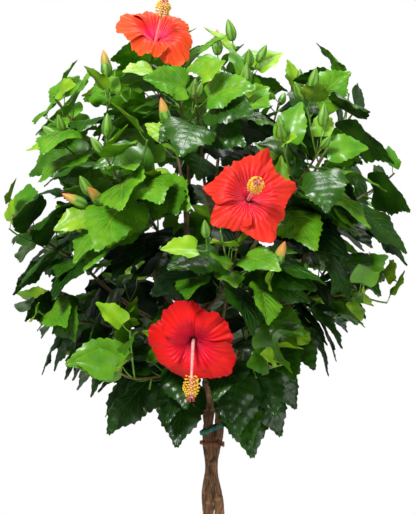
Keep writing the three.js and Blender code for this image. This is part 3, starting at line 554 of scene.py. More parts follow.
def leaf_choices(mass, shoot, share, azimuth, size, youth, roll):
    """The leaf at one node and the ways it may give way: turned about the shoot, then made smaller."""
    tangent, node = shoot["path"].tangent(share), shoot["path"].at(share)
    shrink, turn = (grid.ravel() for grid in np.meshgrid(SHRINKS, TURNS, indexing="ij"))
    outward = spokes(tangent, np.radians(azimuth + turn))
    stalk = unit(outward * LEAF["outward"] + tangent * LEAF["forward"] + UP * LEAF["upward"])
    hang = lerp(HANG["low"] if mass["lift"] < HANG["low_lift"] else HANG["high"], HANG["young"], youth)
    leaving, ending = (unit(stalk - UP * hang * bend) for bend in LEAF["bend"])
    light = lerp(polar(mass["bearing"], LIGHT["outward"], LIGHT["upward"]), tangent, youth * LIGHT["young"])
    count, length = len(shrink), size * shrink
    return {"node": np.tile(node, (count, 1)), "base": node + stalk * (length * LEAF["petiole"])[:, None],
            "leaving": leaving, "ending": ending, "light": np.tile(light, (count, 1)),
            "roll": np.full(count, roll), "length": length, "youth": np.full(count, youth),
            "spray": np.full(count, shoot["spray"])}


def first_that_fits(mass, leaves, grown, leaf_apart):
    """The first way for a leaf to stand that stays in its space and clear of all else, as its number and
    points on its blade and on its stalk; or none."""
    centre, _, _, side = blade_frames(leaves, SAMPLE_U)
    half = blade_shape(SAMPLE_U[SAMPLE_ROWS]) * LEAF["half_width"] * leaves["length"][:, None]
    across = side[:, SAMPLE_ROWS, None] * (half[..., None] * SAMPLE_ACROSS)[..., None]
    blades = (centre[:, SAMPLE_ROWS, None] + across).reshape(len(half), -1, 3)
    stalks = lerp(leaves["node"][:, None], leaves["base"][:, None], STALK_SHARES[None, :, None])
    for i in np.flatnonzero(np.all(in_space(mass, blades), axis=1)):
        blade, stalk = blades[i], stalks[i]
        here = np.concatenate([blade, stalk[2:]])
        own = gaps(here, grown["wood"]).min(axis=1)
        if own[:len(blade)].min() < SPACE["own_wood"] or own[len(blade):].min() < SPACE["own_stalk"]:
            continue
        if grown["leaves"] and crowded(here, len(blade), grown, leaf_apart):
            continue
        if room(mass, stalk).min() > SPACE["stalk_clear"] and room(mass, blade).min() > SPACE["limb_clear"]:
            return i, blade, stalk[2:]
    return None


def crowded(here, blade_count, grown, leaf_apart):
    """Whether a leaf comes too near one that is there already."""
    blades, stalks = np.array(grown["blades"]), np.array(grown["stalks"])
    middle = here[blade_count // 2]
    near = np.linalg.norm(blades[:, blade_count // 2] - middle, axis=1) < grown["widest"] * 2
    if not near.any():
        return False
    to_blades = np.sum((here[:, None] - blades[near].reshape(1, -1, 3)) ** 2, axis=2).min()
    to_stalks = np.sum((here[:blade_count, None] - stalks[near].reshape(1, -1, 3)) ** 2, axis=2).min()
    return to_blades < leaf_apart ** 2 or to_stalks < (leaf_apart * SPACE["closer"]) ** 2


def grow_leaves(mass, shoot, random, grown, rule):
    """Leaves turn round the shoot by the golden angle; one that doesn't fit is turned or made smaller."""
    count = max(2, int(shoot["path"].length * (1 - rule["from"]) / rule["spacing"] + 0.5))
    for i in range(1, count + 1):
        share = rule["from"] + (1 - rule["from"]) * (i - rule["offset"]) / count
        late = max(0, (share - YOUTH["from"]) / (1 - YOUTH["from"])) ** YOUTH["power"]
        youth = 0 if shoot["bough"] else FLOWER_SHOOT["youth"] if shoot["flowering"] else late
        size = lerp(rule["mature"], rule["young"], youth) * random.between(*SCATTER["leaf_size"])
        azimuth = i * GOLDEN_ANGLE + random.about(SCATTER["leaf_turn"])
        roll = math.radians(random.about(SCATTER["leaf_roll"]))
        if crown_depth(shoot["path"].at(share)) > rule["within"]:
            continue
        leaves = leaf_choices(mass, shoot, min(LEAF["last"], share), azimuth, size, youth, roll)
        leaf_apart = rule["apart"] * (SPACE["closer"] if youth > 0.5 else 1)
        found = first_that_fits(mass, leaves, grown, leaf_apart)
        if found:
            grown["leaves"].append({key: values[found[0]] for key, values in leaves.items()})
            grown["blades"].append(found[1])
            grown["stalks"].append(found[2])
            grown["widest"] = max(grown["widest"], leaves["length"][found[0]])


def grow_buds(mass, shoot, random, grown):
    """Buds on upright stalks near the tip of each shoot, but for flowering and low hanging ones."""
    if shoot["flowering"] or mass["lift"] < HANG["low_lift"]:
        return
    count = int(random.between(SCATTER["bud_count"], BUD["per_tip"] + SCATTER["bud_count"]) + 0.5)
    for i in range(count):
        share = BUD["first"] - BUD["apart"] * i
        tangent, node = shoot["path"].tangent(share), shoot["path"].at(share)
        side = around(tangent, 180 * i + random.between(0, SCATTER["bud_turn"]))
        direction = unit(tangent + side * BUD["outward"] + UP * BUD["upward"])
        size = random.between(*SCATTER["bud_size"])
        base = node + direction * BUD["stalk"] * size
        tip = base + direction * BUD["length"] * size
        clear = room(mass, np.array([base, (base + tip) / 2, tip])).min()
        if clear > BUD["radius"] * size + BUD["clear"]:
            grown["buds"].append({"node": node, "base": base, "direction": direction, "size": size,
                                  "warm": random_share(node)})
            stalk_foot = lerp(node, base, BUD["stalk_from"])
            grown["wood"] = joined_stretches([grown["wood"]] + [
                (start[None], end[None], np.array([core]), np.array([core]), np.array([-1]))
                for start, end, core in ((base, tip, BUD["core"]), (stalk_foot, base, BUD["stalk_core"]))])


def seeded(kind, mass):
    """The stream of numbers that a mass grows by."""
    factor, added = SEEDS[kind]
    return Seeded(factor * (mass["index"] + 1) + added)


def grow_mass(mass, sizes):
    """The solids' own shoots, buds and leaves first, then finer twigs and the leaves between."""
    random, fine, first_spray = seeded("solid", mass), seeded("fine", mass), SPRAYS["mass"] * mass["index"]
    shoots = grow_shoots(mass, random)
    shoots += [grow_flower_shoot(shoots[0], bloom) for bloom in blooms if bloom["mass"] == mass["name"]]
    grown = {"shoots": shoots, "leaves": [], "buds": [], "blades": [], "stalks": [], "widest": 0,
             "wood": joined_stretches([shoot["wood"] for shoot in shoots])}
    for i, shoot in enumerate(shoots):
        shoot["spray"] = first_spray + i
    for shoot in shoots:
        grow_buds(mass, shoot, random, grown)
    rule = {"mature": sizes.leaf / MM, "young": sizes.young_leaf / MM, "spacing": sizes.spacing / MM,
            "apart": SPACE["leaf_apart"], "from": 0, "offset": 0, "within": EVERYWHERE}
    for shoot in shoots:
        grow_leaves(mass, shoot, random, grown, rule)
    twigs = grow_fine_twigs(mass, [shoot for shoot in shoots if not shoot["flowering"]], fine)
    for i, twig in enumerate(twigs):
        twig["spray"] = first_spray + SPRAYS["twigs"] + i
    grown["shoots"] += twigs
    grown["wood"] = joined_stretches([grown["wood"]] + [twig["wood"] for twig in twigs])
    small = {**rule, "mature": rule["mature"] * FINE["leaf"], "young": rule["young"] * FINE["leaf"],
             "spacing": FINE["spacing"], "apart": FINE["leaf_apart"], "within": FINE["within"]}
    bough = boughs[mass["index"]]
    bare = shoot_along(bough["path"], bough["radii"], 12, bough=True, spray=first_spray + SPRAYS["bough"])
    grow_leaves(mass, bare, fine, grown, {**rule, "apart": FINE["leaf_apart"], "from": FINE["bough_from"]})
    for twig in twigs:
        grow_leaves(mass, twig, fine, grown, small)
    for shoot in shoots:
        grow_leaves(mass, shoot, fine, grown, {**small, "offset": 0.5})
    return grown


def last_growth(grown, shoot):
    """How far along a shoot its last leaf, bud or twig stands: the shoot ends just past it."""
    if shoot["flowering"]:
        return 1
    shares = np.linspace(SHOOT_END["least"], 1, SHOOT_END["samples"])
    others = [one["node"] for one in grown["leaves"] + grown["buds"]]
    others += [twig["path"].at(0) for twig in grown["shoots"] if twig is not shoot]
    apart = np.linalg.norm(shoot["path"].at(shares)[:, None] - np.array(others), axis=2).min(axis=1)
    last = shares[apart < SHOOT_END["near"]].max(initial=SHOOT_END["least"])
    return min(1, last + SHOOT_END["past"])


@functools.lru_cache(maxsize=1)
def grown_plant():
    """Every mass, grown once with the sizes that are set."""
    sizes = bpy.context.scene.shrub_sizes
    return [grow_mass(mass, sizes) for mass in masses]


def all_grown(kind):
    """The leaves or the buds of every mass."""
    return [one for grown in grown_plant() for one in grown[kind]]


# ---------------------------------------------------------------- meshes
class Pile:
    """Closed shapes gathered into one mesh. A shape's copies are an array of copies by points by 3."""

    def __init__(self):
        self.points, self.quads, self.tris, self.creased, self.values, self.count = [], [], [], [], {}, 0

    def add(self, points, quads, tris=(), creased=None, **values):
        copies, size = points.shape[:2]
        shift = (self.count + size * np.arange(copies))[:, None, None]
        self.points.append(points.reshape(-1, 3))
        for kept, faces, corners in ((self.quads, quads, 4), (self.tris, tris, 3)):
            if len(faces):
                kept.append((np.asarray(faces)[None] + shift).reshape(-1, corners))
        self.creased.append(np.tile(np.zeros(size, bool) if creased is None else creased, copies))
        for name, data in values.items():
            self.values.setdefault(name, []).append(np.broadcast_to(data, (copies, size)).ravel())
        self.count += copies * size

    def make(self, name, material, slot, *nodes):
        """Puts the arrays into a mesh, shades it smooth but for its creased edges, hangs it on the root and
        hides the solids it stands for.
        """
        quads = np.concatenate(self.quads) if self.quads else np.zeros((0, 4), int)
        tris = np.concatenate(self.tris) if self.tris else np.zeros((0, 3), int)
        corners = np.concatenate([quads.ravel(), tris.ravel()]).astype(np.int32)
        starts = np.concatenate([4 * np.arange(len(quads)), 4 * len(quads) + 3 * np.arange(len(tris))])
        mesh = bpy.data.meshes.new(name)
        mesh.vertices.add(self.count)
        mesh.vertices.foreach_set("co", (np.concatenate(self.points) * MM).astype(np.float32).ravel())
        mesh.loops.add(len(corners))
        mesh.loops.foreach_set("vertex_index", corners)
        mesh.polygons.add(len(starts))
        mesh.polygons.foreach_set("loop_start", starts.astype(np.int32))
        mesh.update(calc_edges=True)
        mesh.shade_smooth()
        creased = np.concatenate(self.creased)
        if creased.any():
            ends = np.empty(2 * len(mesh.edges), np.int32)
            mesh.edges.foreach_get("vertices", ends)
            sharp = mesh.attributes.new("sharp_edge", "BOOLEAN", "EDGE")
            sharp.data.foreach_set("value", creased[ends].reshape(-1, 2).all(axis=1))
        for attribute, data in self.values.items():
            layer = mesh.attributes.new(attribute, "FLOAT", "POINT")
            layer.data.foreach_set("value", np.concatenate(data).astype(np.float32))
        mesh.validate()
        mesh.materials.append(material)
        piece = bpy.data.objects.new(name, mesh)
        bpy.context.collection.objects.link(piece)
        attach(piece, "root")
        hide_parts(*nodes)


@functools.lru_cache(maxsize=None)
def sheet_template(rows, columns, pointed=True):
    """A closed thin sheet as points on a grid of rows along and columns across: the upper face, and the
    lower face that shares its rim. A pointed sheet's first and last rows are one point each."""
    i, j = np.meshgrid(np.arange(rows + 1), np.arange(columns + 1), indexing="ij")
    rim = (j == 0) | (j == columns) | (i == 0) | (i == rows)
    source = i * (columns + 1) + j
    if pointed:
        source[0], source[-1] = source[0, 0], source[-1, 0]
    under = np.where(rim, source, source + (rows + 1) * (columns + 1))
    quads, tris = [], []
    for grid, order in ((source, (0, 1, 2, 3)), (under, (3, 2, 1, 0))):
        ring = np.stack([grid[:-1, :-1], grid[:-1, 1:], grid[1:, 1:], grid[1:, :-1]], axis=-1)[..., order]
        middle = slice(1, -1) if pointed else slice(None)
        quads.append(ring[middle].reshape(-1, 4))
        if pointed:
            first, last = ((0, 2, 3), (0, 1, 2)) if order[0] == 0 else ((0, 1, 3), (1, 2, 3))
            tris += [ring[0][:, first], ring[-1][:, last]]
    quads, tris = np.concatenate(quads), np.concatenate(tris) if tris else np.zeros((0, 3), int)
    used, renumbered = np.unique(np.concatenate([quads.ravel(), tris.ravel()]), return_inverse=True)
    cell, lower = used % rim.size, used >= rim.size
    above = np.where(rim.ravel()[cell], 0, np.where(lower, -1, 1))
    return {"cell": cell, "above": above, "quads": renumbered[:quads.size].reshape(-1, 4),
            "tris": renumbered[quads.size:].reshape(-1, 3)}


def add_sheets(pile, surface, thickness, pointed=True, **values):
    """Thin blades from an array of copies by rows by columns by 3: each face stands half the thickness
    off the surface along its normal, and both meet at the rim."""
    copies, rows, columns = surface.shape[:3]
    shape = sheet_template(rows - 1, columns - 1, pointed)
    normal = np.cross(np.gradient(surface, axis=2), np.gradient(surface, axis=1))
    normal /= np.maximum(np.linalg.norm(normal, axis=3, keepdims=True), 1e-9)
    flat, off = (array.reshape(copies, -1, 3)[:, shape["cell"]] for array in (surface, normal))
    half = np.broadcast_to(np.asarray(thickness, float) / 2, (copies, rows, columns)).reshape(copies, -1)
    points = flat + off * (half[:, shape["cell"]] * shape["above"])[..., None]
    held = {name: np.broadcast_to(data, (copies, rows, columns)).reshape(copies, -1)[:, shape["cell"]]
            for name, data in values.items()}
    pile.add(points, shape["quads"], shape["tris"], creased=shape["above"] == 0, **held)


@functools.lru_cache(maxsize=None)
def tube_template(rings, sides):
    """Quads between rings of points, and a fan on a middle point at either end."""
    i, j = np.meshgrid(np.arange(rings - 1), np.arange(sides), indexing="ij")
    near, far, after = i * sides, (i + 1) * sides, (j + 1) % sides
    quads = np.stack([near + j, near + after, far + after, far + j], axis=-1)
    turn, next_turn = np.arange(sides), (np.arange(sides) + 1) % sides
    last = (rings - 1) * sides
    foot = np.stack([np.full(sides, rings * sides), next_turn, turn], axis=-1)
    tip = np.stack([np.full(sides, rings * sides + 1), last + turn, last + next_turn], axis=-1)
    return quads.reshape(-1, 4), np.concatenate([foot, tip])


def add_tubes(pile, centres, radii, sides, relief=0.0, level=None, **values):
    """Tubes along an array of copies by rings by 3. A ring lies across its path, turned by one level axis
    for the whole tube; relief, an array of rings by sides, moves the skin outwards."""
    copies, rings = centres.shape[:2]
    tangent = unit(np.gradient(centres, axis=1))
    if level is None:
        level = across_frame(unit(centres[:, -1] - centres[:, 0]))[0][:, None]
    level = unit(level - np.sum(level * tangent, axis=2, keepdims=True) * tangent)
    over = np.cross(tangent, level)
    turn = even_turns(sides)
    out = level[:, :, None] * np.cos(turn)[:, None] + over[:, :, None] * np.sin(turn)[:, None]
    radius = np.broadcast_to(np.asarray(radii, float), (copies, rings))[..., None] + relief
    skin = centres[:, :, None] + out * np.broadcast_to(radius, (copies, rings, sides))[..., None]
    points = np.concatenate([skin.reshape(copies, -1, 3), centres[:, :1], centres[:, -1:]], axis=1)
    quads, tris = tube_template(rings, sides)
    held = {}
    for name, data in values.items():
        skin_data = np.broadcast_to(data, (copies, rings, sides))
        held[name] = np.concatenate(
            [skin_data.reshape(copies, -1), skin_data[:, 0, :1], skin_data[:, -1, :1]], axis=1)
    pile.add(points, quads, tris, **held)


# ---------------------------------------------------------------- finishes
def new_material(name, **settings):
    """A principled surface with its constants set on its own sockets."""
    material = bpy.data.materials.new(name)
    material.use_nodes = True
    surface = material.node_tree.nodes["Principled BSDF"]
    for socket, value in settings.items():
        surface.inputs[socket].default_value = value
    return material, surface


def add_node(owner, kind, settings=(), links=()):
    """Adds a node to a material's or the world's tree: settings are pairs of a socket, a property or a
    ramp's stops and its value, and links are pairs of a socket and the output that feeds it."""
    node = owner.node_tree.nodes.new(kind)
    for name, value in settings:
        if name == "stops":
            set_stops(node.color_ramp, value)
        elif isinstance(name, int) or name in node.inputs:
            node.inputs[name].default_value = value
        else:
            setattr(node, name, value)
    for name, output in links:
        owner.node_tree.links.new(output, node.inputs[name])
    return node


def set_stops(ramp, stops):
    """Stops are pairs of a place from 0 to 1 and a colour, hex or already linear."""
    while len(ramp.elements) < len(stops):
        ramp.elements.new(1.0)
    for element, (place, colour) in zip(ramp.elements, stops):
        element.position, element.color = place, linear(colour) if isinstance(colour, str) else colour


def even_stops(colours, low=0.0, high=1.0):
    """Colours at even places between low and high."""
    return [(lerp(low, high, i / (len(colours) - 1)), colour) for i, colour in enumerate(colours)]


def feed(material, surface, **outputs):
    """Joins outputs to the surface: its colour, and a bump's normal where there is one."""
    for name, socket in (("colour", "Base Color"), ("normal", "Normal")):
        if name in outputs:
            material.node_tree.links.new(outputs[name], surface.inputs[socket])


def uneven_finish(name, colours, patch_mm, grain=None, **settings):
    """A surface whose colour changes cloudily over patches of a real size. A grain, as its size and depth
    in millimetres, adds fine relief."""
    material, surface = new_material(name, **settings)
    place = add_node(material, "ShaderNodeTexCoord").outputs["Object"]
    cloud = add_node(material, "ShaderNodeTexNoise", [("Scale", 1000 / patch_mm), ("Detail", 3.0)],
                     [("Vector", place)])
    ramp = add_node(material, "ShaderNodeValToRGB", [("stops", even_stops(colours, 0.34, 0.66))],
                    [("Fac", cloud.outputs["Fac"])])
    feed(material, surface, colour=ramp.outputs["Color"])
    if grain:
        fine = add_node(material, "ShaderNodeTexNoise", [("Scale", 1000 / grain[0]), ("Detail", 4.0)],
                        [("Vector", place)])
        bump = add_node(material, "ShaderNodeBump", [("Strength", 0.6), ("Distance", grain[1] * MM)],
                        [("Height", fine.outputs["Fac"])])
        feed(material, surface, normal=bump.outputs["Normal"])
    return material


def leaf_finish(name, colours, roughness, coat, specular):
    """Living leaf: a waxy cuticle over soft green tissue, so a clear shine on a slightly uneven colour.
    The cuticle's grain is drawn coarser than life, at 2.5 mm, so that it breaks the shine."""
    return uneven_finish(name, colours, 28, (2.5, 0.35), **{
        "Roughness": roughness, "IOR": 1.45, "Coat Weight": coat, "Coat Roughness": 0.22,
        "Specular IOR Level": specular})


def twig_finish(name, colours):
    """Green wood: a smooth thin skin, faintly mottled and finely grained, so it shines half matt."""
    return uneven_finish(name, colours, 9, (1.4, 0.2), **{"Roughness": 0.5, "IOR": 1.45})


def bark_finish(name, furrow, skin, pale, roughness):
    """Young hibiscus bark: thin grey-brown cork split lengthwise over green-brown skin. The cork is matt, and
    its streaks run along the stem, 2 mm wide and 14 mm long. The colour goes from near black deep in the
    furrows to pale on the high bark."""
    material, surface = new_material(name, **{"Roughness": roughness, "IOR": 1.5})
    place = add_node(material, "ShaderNodeTexCoord")
    stretched = add_node(material, "ShaderNodeMapping", [("Scale", (1, 1, 0.15))],
                         [("Vector", place.outputs["Object"])])
    streaks = add_node(material, "ShaderNodeTexNoise", [("Scale", 1000 / 2.2), ("Detail", 5.0)],
                       [("Vector", stretched.outputs["Vector"])])
    furrows = add_node(material, "ShaderNodeAttribute", [("attribute_name", "furrow")])
    height = add_node(material, "ShaderNodeMath", [("operation", "MULTIPLY_ADD"), (1, 0.55)],
                      [(0, streaks.outputs["Fac"]), (2, furrows.outputs["Fac"])])
    ramp = add_node(material, "ShaderNodeValToRGB", [("stops", [(0.12, furrow), (0.42, skin), (0.85, pale)])],
                    [("Fac", height.outputs["Value"])])
    bump = add_node(material, "ShaderNodeBump", [("Strength", 0.7), ("Distance", 0.4 * MM)],
                    [("Height", streaks.outputs["Fac"])])
    feed(material, surface, colour=ramp.outputs["Color"], normal=bump.outputs["Normal"])
    return material


def petal_finish(name, stops, streak):
    """Hibiscus petal: thin moist tissue with a velvety bloom, deep at the eye, with pale or dark veins
    that fan from it. The petals' own radial and across values place the eye and the veins."""
    material, surface = new_material(name, **{
        "Roughness": 0.5, "IOR": 1.35, "Specular IOR Level": 0.3, "Sheen Weight": 0.06,
        "Sheen Roughness": 0.4})
    radial, across = (add_node(material, "ShaderNodeAttribute", [("attribute_name", value)]).outputs["Fac"]
                      for value in ("radial", "across"))
    place = add_node(material, "ShaderNodeTexCoord")
    wander = add_node(material, "ShaderNodeTexNoise", [("Scale", 1000 / 14), ("Detail", 2.0)],
                      [("Vector", place.outputs["Object"])])
    drift = add_node(material, "ShaderNodeMath", [("operation", "MULTIPLY"), (1, 9.0)],
                     [(0, wander.outputs["Fac"])])
    fan = add_node(material, "ShaderNodeMath", [("operation", "MULTIPLY_ADD"), (1, 30.0)],
                   [(0, across), (2, drift.outputs["Value"])])
    wave = add_node(material, "ShaderNodeMath", [("operation", "SINE")], [(0, fan.outputs["Value"])])
    fade = add_node(material, "ShaderNodeMapRange",
                    [("From Min", 0.25), ("From Max", 0.85), ("To Min", 0.42), ("To Max", 0.04)],
                    [("Value", radial)])
    vein = add_node(material, "ShaderNodeMath", [("operation", "MULTIPLY"), ("use_clamp", True)],
                    [(0, wave.outputs["Value"]), (1, fade.outputs["Result"])])
    ramp = add_node(material, "ShaderNodeValToRGB", [("stops", stops)], [("Fac", radial)])
    mixed = add_node(material, "ShaderNodeMix", [("data_type", "RGBA")], [("Factor", vein.outputs["Value"])])
    under, over = (socket for socket in mixed.inputs if socket.type == "RGBA")
    material.node_tree.links.new(ramp.outputs["Color"], under)
    over.default_value = linear(streak)
    colour = next(socket for socket in mixed.outputs if socket.type == "RGBA")
    bump = add_node(material, "ShaderNodeBump", [("Strength", 0.35), ("Distance", 0.5 * MM)],
                    [("Height", wave.outputs["Value"])])
    feed(material, surface, colour=colour, normal=bump.outputs["Normal"])
    return material


def toned_finish(name, colours, roughness):
    """A part whose colour follows its own tone, from the first colour to the last."""
    material, surface = new_material(name, **{"Roughness": roughness})
    tone = add_node(material, "ShaderNodeAttribute", [("attribute_name", "tone")])
    ramp = add_node(material, "ShaderNodeValToRGB", [("stops", even_stops(colours))],
                    [("Fac", tone.outputs["Fac"])])
    feed(material, surface, colour=ramp.outputs["Color"])
    return material


# ---------------------------------------------------------------- bark
def bark_relief(rings, around_count, run_mm, girth_mm, seed):
    """How far bark stands out, in parts of its depth: broad swellings, less lengthwise furrows where a
    stretched noise is near its middle, plus a low ring at each old leaf scar. It closes on itself."""
    along, turn = np.meshgrid(np.linspace(0, run_mm, rings), np.arange(around_count) / around_count,
                              indexing="ij")
    cells = max(3, round(girth_mm / 3.2))
    swell = noise(turn * 4, along / 17, seed, 4) - 0.5
    ridged = 1 - np.abs(2 * noise(turn * cells + 0.6 * np.sin(along / 21), along / 19, seed + 5, cells) - 1)
    fine = noise(turn * cells * 2, along / 5, seed + 9, cells * 2) - 0.5
    from_scar = (np.mod(along + 9 * seed, 27) - 13) / 1.7
    scar = np.exp(-from_scar ** 2) * noise(turn * 5, along / 27, seed + 3, 5)
    return 0.9 * swell - 1.1 * ridged ** 5 + 0.35 * fine + 1.1 * scar


def furrow_value(relief):
    """0 in the furrows to about 0.7 on the high bark."""
    return np.clip(0.28 + 0.3 * relief, 0, 1)


def add_bark_limb(pile, centres, radii, skin, seed):
    """A limb's skin round a run of centres, moved out by its bark's relief."""
    run = np.linalg.norm(np.diff(centres, axis=0), axis=1).sum()
    relief = bark_relief(len(centres), skin["sides"], run, 2 * np.pi * float(np.mean(radii)), seed)
    add_tubes(pile, centres[None], radii[None], skin["sides"], relief * skin["depth"],
              furrow=furrow_value(relief))


def resample(path, spacing):
    """Points along a path at even steps of about a spacing."""
    return path.at(np.linspace(0, 1, max(4, int(path.length / spacing) + 1)))


def stem_and_leader(index):
    """A plaited stem and the leader it becomes, as one run of points with the radius at each."""
    stem, leader = plaited_stem(index), leaders[index]
    low, high = resample(stem, TRUNK_SKIN["step"]), resample(leader, TRUNK_SKIN["leader_step"])
    height = low[:, 2]
    flare = FLARE["stem_growth"] * np.maximum(0, 1 - height / FLARE["height"]) ** 2
    stem_radii = lerp(STEM_RADIUS["foot"], STEM_RADIUS["top"], height / FORK_HEIGHT) + flare
    leader_radii = lerp(*LEADER_RADIUS, np.linspace(0, 1, len(high)))
    return np.concatenate([low, high]), np.concatenate([stem_radii, leader_radii])


def add_collar(pile):
    """The root flare under the three stems: a round skirt from the ground in to the plait, rising by a
    soft S, with a wavering edge."""
    rings, sides = 40, 96
    share = np.linspace(0, 1, rings)
    height = FLARE["height"] * share ** 1.25
    reach = lerp(FLARE["collar_radius"], 3.0, smooth(share, -0.35, 1.05))
    relief = bark_relief(rings, sides, FLARE["height"], 2 * np.pi * 16, 31)
    centres = np.stack([np.zeros(rings), np.zeros(rings), height], axis=-1)
    waver = 1.3 * np.sin(3 * even_turns(sides) + 0.6) * (1 - share[:, None])
    add_tubes(pile, centres[None], reach[None], sides, relief * 0.7 + waver, furrow=furrow_value(relief))


# ---------------------------------------------------------------- leaves
FINE_U = np.linspace(0, 1, 49)
LEAF_FORM = {  # teeth to a leaf and their size, folds young and old, and heights as shares of width or length
    "teeth": 10.5, "tooth_width": 0.05, "tooth_forward": 0.014, "fold": (0.2, 0.5), "droop": 0.26,
    "swell": 0.016, "swells": 6.2, "swell_slant": 1.5, "ripple": 0.12, "ripples": 2.3, "heart": 0.10,
    "shoulder": 0.05}


def as_arrays(rows):
    """Leaves or buds as one array for each of their values."""
    return {key: np.array([row[key] for row in rows]) for key in rows[0]}


def leaf_surface(leaves, u, s, lift=0.0):
    """Points of each leaf at shares u along and s across (-1 to 1). The half is folded up along the
    midrib and droops again outwards, the tissue swells between the side veins, the margin waves, and its
    teeth point forward; the base is heart-shaped."""
    step = np.clip(u, 0, 1) * (len(FINE_U) - 1)
    row = np.minimum(step.astype(int), len(FINE_U) - 2)
    part = (step - row)[None, :, None]
    centre, direction, face, side = (
        lerp(axis[:, row], axis[:, row + 1], part) for axis in blade_frames(leaves, FINE_U))
    length = leaves["length"][:, None]
    wave = (leaves["roll"] * 31 + leaves["length"])[:, None]
    youth = leaves["youth"][:, None]
    out = np.abs(s)
    tooth = np.where(u < 0.97, np.sin(2 * np.pi * LEAF_FORM["teeth"] * u - 0.9), 0)
    tooth = tooth * smooth(u, 0.14, 0.34) * out ** 7
    half = length * LEAF["half_width"] * blade_shape(u) * (1 + LEAF_FORM["tooth_width"] * tooth)
    slant = LEAF_FORM["swell_slant"] * out * (half / length)
    swell = np.cos(2 * np.pi * (LEAF_FORM["swells"] * u - slant) + 0.4) * out ** 0.6 * (1 - out ** 3)
    fold = lerp(*LEAF_FORM["fold"], youth)
    rise = half * (fold * out - LEAF_FORM["droop"] * (1 + 0.3 * np.sin(wave)) * out ** 2.4)
    rise = rise + length * (LEAF_FORM["swell"] * (1 - 0.5 * youth) * swell * smooth(u, 0.02, 0.2))
    ripple = np.sin(2 * np.pi * LEAF_FORM["ripples"] * u + wave * 1.7 + np.sign(s) * (1.2 + wave)) * out ** 3
    rise = rise + half * LEAF_FORM["ripple"] * ripple + lift
    heart = LEAF_FORM["heart"] * out ** 1.5 * (1 - smooth(u, 0.0, 0.26))
    forward = length * (LEAF_FORM["tooth_forward"] * tooth - heart)
    forward = forward + length * LEAF_FORM["shoulder"] * out ** 2 * smooth(u, 0.2, 0.8)
    return (centre + side * (half * s * np.cos(fold * 0.6))[..., None] + face * rise[..., None]
            + direction * forward[..., None])


def add_leaves(pile, leaves, rows, columns):
    """Whole blades on a grid of rows by columns."""
    u, s = np.meshgrid(np.linspace(0, 1, rows + 1) ** 1.08, np.linspace(-1, 1, columns + 1), indexing="ij")
    surface = leaf_surface(leaves, u.ravel(), s.ravel()).reshape(-1, rows + 1, columns + 1, 3)
    surface[:, 0], surface[:, -1] = surface[:, :1, columns // 2], surface[:, -1:, columns // 2]
    middle = 1 + 0.7 * np.exp(-(s / 0.16) ** 2) * (1 - u)
    add_sheets(pile, surface, leaves["length"][:, None, None] * LEAF["thickness"] * middle)


MIDRIB = {"from": 0.02, "to": 0.93, "points": 9, "height": 0.85, "width": 0.0095}
SIDE_VEINS = {"points": 5, "height": 0.8, "width": 0.006,
              "pairs": [(0.015, 0.40, 0.86), (0.20, 0.55, 0.84), (0.36, 0.70, 0.8), (0.52, 0.82, 0.74)]}


def add_vein(pile, leaves, tone, form, start, end, reach):
    """A three-sided ridge on each leaf's upper face, from its midrib out to a reach across, thinner
    towards its end."""
    share = np.linspace(0, 1, form["points"])
    u, s = lerp(start, end, share), lerp(0.0, reach, share ** 0.9)
    lift = leaves["length"][:, None] * LEAF["thickness"] * form["height"]
    width = form["width"] * leaves["length"][:, None] * (1 - 0.65 * share)
    add_tubes(pile, leaf_surface(leaves, u, s, lift), width, 3, tone=tone)


def add_veins(pile, leaves, tone):
    """The midrib and four pairs of side veins."""
    add_vein(pile, leaves, tone, MIDRIB, MIDRIB["from"], MIDRIB["to"], 0.0)
    for start, end, reach in SIDE_VEINS["pairs"]:
        for side in (1, -1):
            add_vein(pile, leaves, tone, SIDE_VEINS, start, end, side * reach)


def add_petioles(pile, leaves):
    """Leaf stalks, bowed a little down and swollen at the node."""
    share = steps_along(6)
    node, base = leaves["node"][:, None], leaves["base"][:, None]
    inward = leaves["leaving"][:, None] * leaves["length"][:, None, None] * 0.02
    sag = UP * (leaves["length"] * 0.035)[:, None, None] * np.sin(np.pi * share)
    swelling = 1 + 0.5 * np.exp(-(share[0, :, 0] / 0.15) ** 2)
    thick = LEAF["petiole_radius"] * (leaves["length"][:, None] / 110) ** 0.5 * swelling
    add_tubes(pile, lerp(node, base + inward, share) - sag, thick, 5)


# Ages pick the young leaves' own colour; the rest is painted light and shade: leaves nearer the crown's
# middle than the shade depth get painted shade, and the light thresholds give lighter tints higher in the
# crown.
TINT_FROM = {"young": 0.72, "half_grown": 0.4, "half_grown_light": 0.15, "shade": 0.52,   # ages and depth
             "bright": 0.94, "fresh": 0.74, "mid": 0.42}                                  # light


def tint_of(leaf):
    """Which tint a leaf has: by its age, then by its spray and height, and dark inside the crown. Only the
    young tint is the leaves' own colour; past it the tint is painted light and shade: lighter higher up, as
    light falls from above, and painted shade inside the crown, with the spray adding random tone.
    """
    height = (leaf["base"][2] - CROWN["middle"][2]) / CROWN["radii"][2]
    # Painted light: a spray's random share, lifted by its height, so that leaves high in the crown come out
    # lighter.
    light = Seeded(int(leaf["spray"]) * 7 + 3).next() + 0.5 * height
    if leaf["youth"] > TINT_FROM["young"]:
        return "young"
    if leaf["youth"] > TINT_FROM["half_grown"]:
        return "bright" if light > TINT_FROM["half_grown_light"] else "fresh"
    # Painted shade: full-grown leaves deep inside the crown take the darkest tint.
    if crown_depth(leaf["base"]) < TINT_FROM["shade"]:
        return "shade"
    return next((tint for tint in ("bright", "fresh", "mid") if light > TINT_FROM[tint]), "deep")


